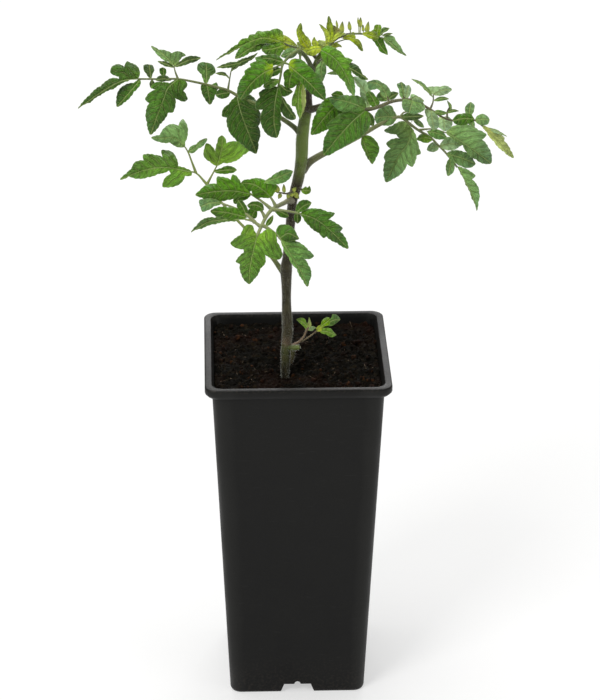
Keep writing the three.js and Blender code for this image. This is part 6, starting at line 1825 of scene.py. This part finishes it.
@dataclass
class FlowerTrusses:
    """The stalks with flower buds, still closed in their five green sepals.

    bud_form gives shares of the bud's length, from its base, and bud_girth its girth there,
    after five places along its thin stalk. bud_long is that length in radii, and
    stalk_shares are the least and the most of the whole that is stalk.
    """

    finishes: Finishes
    stalks: StalkMaker = field(default_factory=StalkMaker)
    blades: BladeMaker = field(default_factory=BladeMaker)
    stalk_shades: tuple[str, str] = ("#4a3f30", "#5f5340")
    bud_shades: tuple[str, str, str] = ("#9aa85a", "#ccd75c", "#58683c")
    bud_form: tuple[float, ...] = (0.03, 0.08, 0.15, 0.25, 0.35, 0.48, 0.6, 0.72, 0.82, 0.9, 0.96,
                                   1.0)
    bud_girth: tuple[float, ...] = (0.36, 0.33, 0.32, 0.33, 0.38, 0.62, 0.82, 0.93, 0.99, 1.0,
                                    0.95, 0.82, 0.64, 0.47, 0.31, 0.17, 0.05)
    ribs: float = 0.2
    slim: float = 0.85
    sag: float = 0.25
    bud_long: float = 4.2
    stalk_shares: tuple[float, float] = (0.15, 0.6)
    sides: int = 20

    def build_bud(self, shell: Shell, bud: Bud, spring: Spring) -> None:
        """Adds one bud on its thin stalk."""
        start, tip = VIEW.seen(np.array([spring.place, bud.tip], float),
                               np.full(2, spring.depth))
        length = float(np.linalg.norm(tip - start))
        least, most = self.stalk_shares
        swell = min(most, max(least, 1 - self.bud_long * bud.radius / length))
        share = np.concatenate([np.linspace(0, swell, 5),
                                swell + (1 - swell) * np.array(self.bud_form)])
        sag = np.sin(math.pi * share)[:, None] * np.array([0, 0, -self.sag])
        path = start + (tip - start) * share[:, None] + sag
        points, faces = tube(path, np.array(self.bud_girth) * bud.radius * self.slim, self.sides,
                             self.ribs)
        stalk, body, tip = colours(*self.bud_shades)
        part = (share - swell) / max(1 - swell, 0.1)
        part = np.concatenate([np.repeat(part, self.sides), [-1, 1]])[:, None]
        low, high = np.clip(part * 3, 0, 1), np.clip((part - 0.45) / 0.5, 0, 1)
        shell.add(points, faces, 1, (stalk * (1 - low) + body * low) * (1 - high) + tip * high)

    def build(self, fuzz: Shell) -> None:
        """Builds and dresses every truss."""
        finishes = self.finishes
        blade = [finishes.upper, finishes.under, finishes.stalk]
        for truss in TRUSSES:
            shell, bracts = Shell(), Shell()
            stalk = self.stalks.make([shell, fuzz], np.array(truss.stalk, float), truss.thick,
                                     self.stalk_shades)
            for bud in truss.buds:
                self.build_bud(shell, bud, spring_from([stalk], bud.root))
            for i, bract in enumerate(truss.bracts):
                self.blades.make(bracts, bract, spring_from([stalk], bract.rib[0]), 90 + i)
            shell.take(bracts, 3)
            piece = shell.to_object(f"{truss.name}_grown",
                                    [finishes.stalk, finishes.bud, finishes.stalk, *blade])
            hand_over(piece, "flower_bud", truss.name)


@dataclass
class Down:
    """The short pale hairs on the stem and on every stalk."""

    finishes: Finishes
    stem: Strewing = Strewing("stem_hairs", Crumb.HAIR, 3.0, 0.4, 1.1, 0.12, 11)
    stalk: Strewing = Strewing("stalk_hairs", Crumb.HAIR, 4.6, 0.3, 0.75, 0.25, 12)

    def build(self, stem: Shell, stalks: Shell) -> None:
        """Grows the hairs on both surfaces."""
        for strewing, shell, slot in ((self.stem, stem, "stem"), (self.stalk, stalks, "leaf")):
            hand_over(strewing.strew(shell.to_object("skin", []), self.finishes.hair), slot)


@dataclass
class Studio:
    """A pale floor, soft light and the camera, in metres and watts.

    Each soft box has its name, its place, its width and its power.
    """

    floor_radius: float = 12.0
    floor_sides: int = 96
    air: float = 0.22
    looked_at: Pick = (0.0, 0.0, 0.22)
    boxes: tuple[tuple[str, Pick, float, float], ...] = (
        ("top", (-0.3, 0.4, 4.0), 2.2, 66.0), ("key", (-2.2, -2.6, 3.4), 1.6, 82.0),
        ("backdrop", (0.4, 4.0, 2.2), 3.0, 80.0), ("fill", (2.8, -2.0, 1.6), 2.0, 12.0))

    def floor(self) -> None:
        """Lays the floor."""
        turns = np.linspace(0, 2 * math.pi, self.floor_sides, endpoint=False)
        mesh = bpy.data.meshes.new("floor")
        mesh.from_pydata([(self.floor_radius * math.cos(a), self.floor_radius * math.sin(a), 0)
                          for a in turns], [], [tuple(range(self.floor_sides))])
        mesh.materials.append(LitTable().make())
        linked("floor", mesh)

    def light(self, name: str, place: Pick, size: float, power: float) -> None:
        """Hangs a soft box that looks at the plant."""
        data = bpy.data.lights.new(name, "AREA")
        data.size, data.energy = size, power
        way = Vector(self.looked_at) - Vector(place)
        linked(name, data).matrix_world = (
            Matrix.Translation(place) @ way.to_track_quat("-Z", "Y").to_matrix().to_4x4())

    def build(self) -> None:
        """Sets up the floor, the lights and the camera."""
        scene = bpy.context.scene
        self.floor()
        for box in self.boxes:
            self.light(*box)
        scene.world = bpy.data.worlds.new("studio_air")
        scene.world.use_nodes = True
        air = scene.world.node_tree.nodes["Background"].inputs
        air[0].default_value, air[1].default_value = linear(WHITE), self.air
        scene.view_settings.view_transform = "Standard"
        scene.camera = VIEW.camera()


def main() -> None:
    """Builds the object and its studio."""
    logging.basicConfig(level=logging.INFO, format="%(name)s %(message)s")
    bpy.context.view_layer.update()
    Studio().build()
    pot = Pot()
    pot.build()
    CompostBed(pot).build()
    finishes = Finishes()
    stem_skin, stalk_skin = Shell(), Shell()
    MainStem(finishes).build(stem_skin)
    Foliage(finishes).build(stalk_skin)
    FlowerTrusses(finishes).build(stalk_skin)
    Down(finishes).build(stem_skin, stalk_skin)


if __name__ == "__main__":
    main()
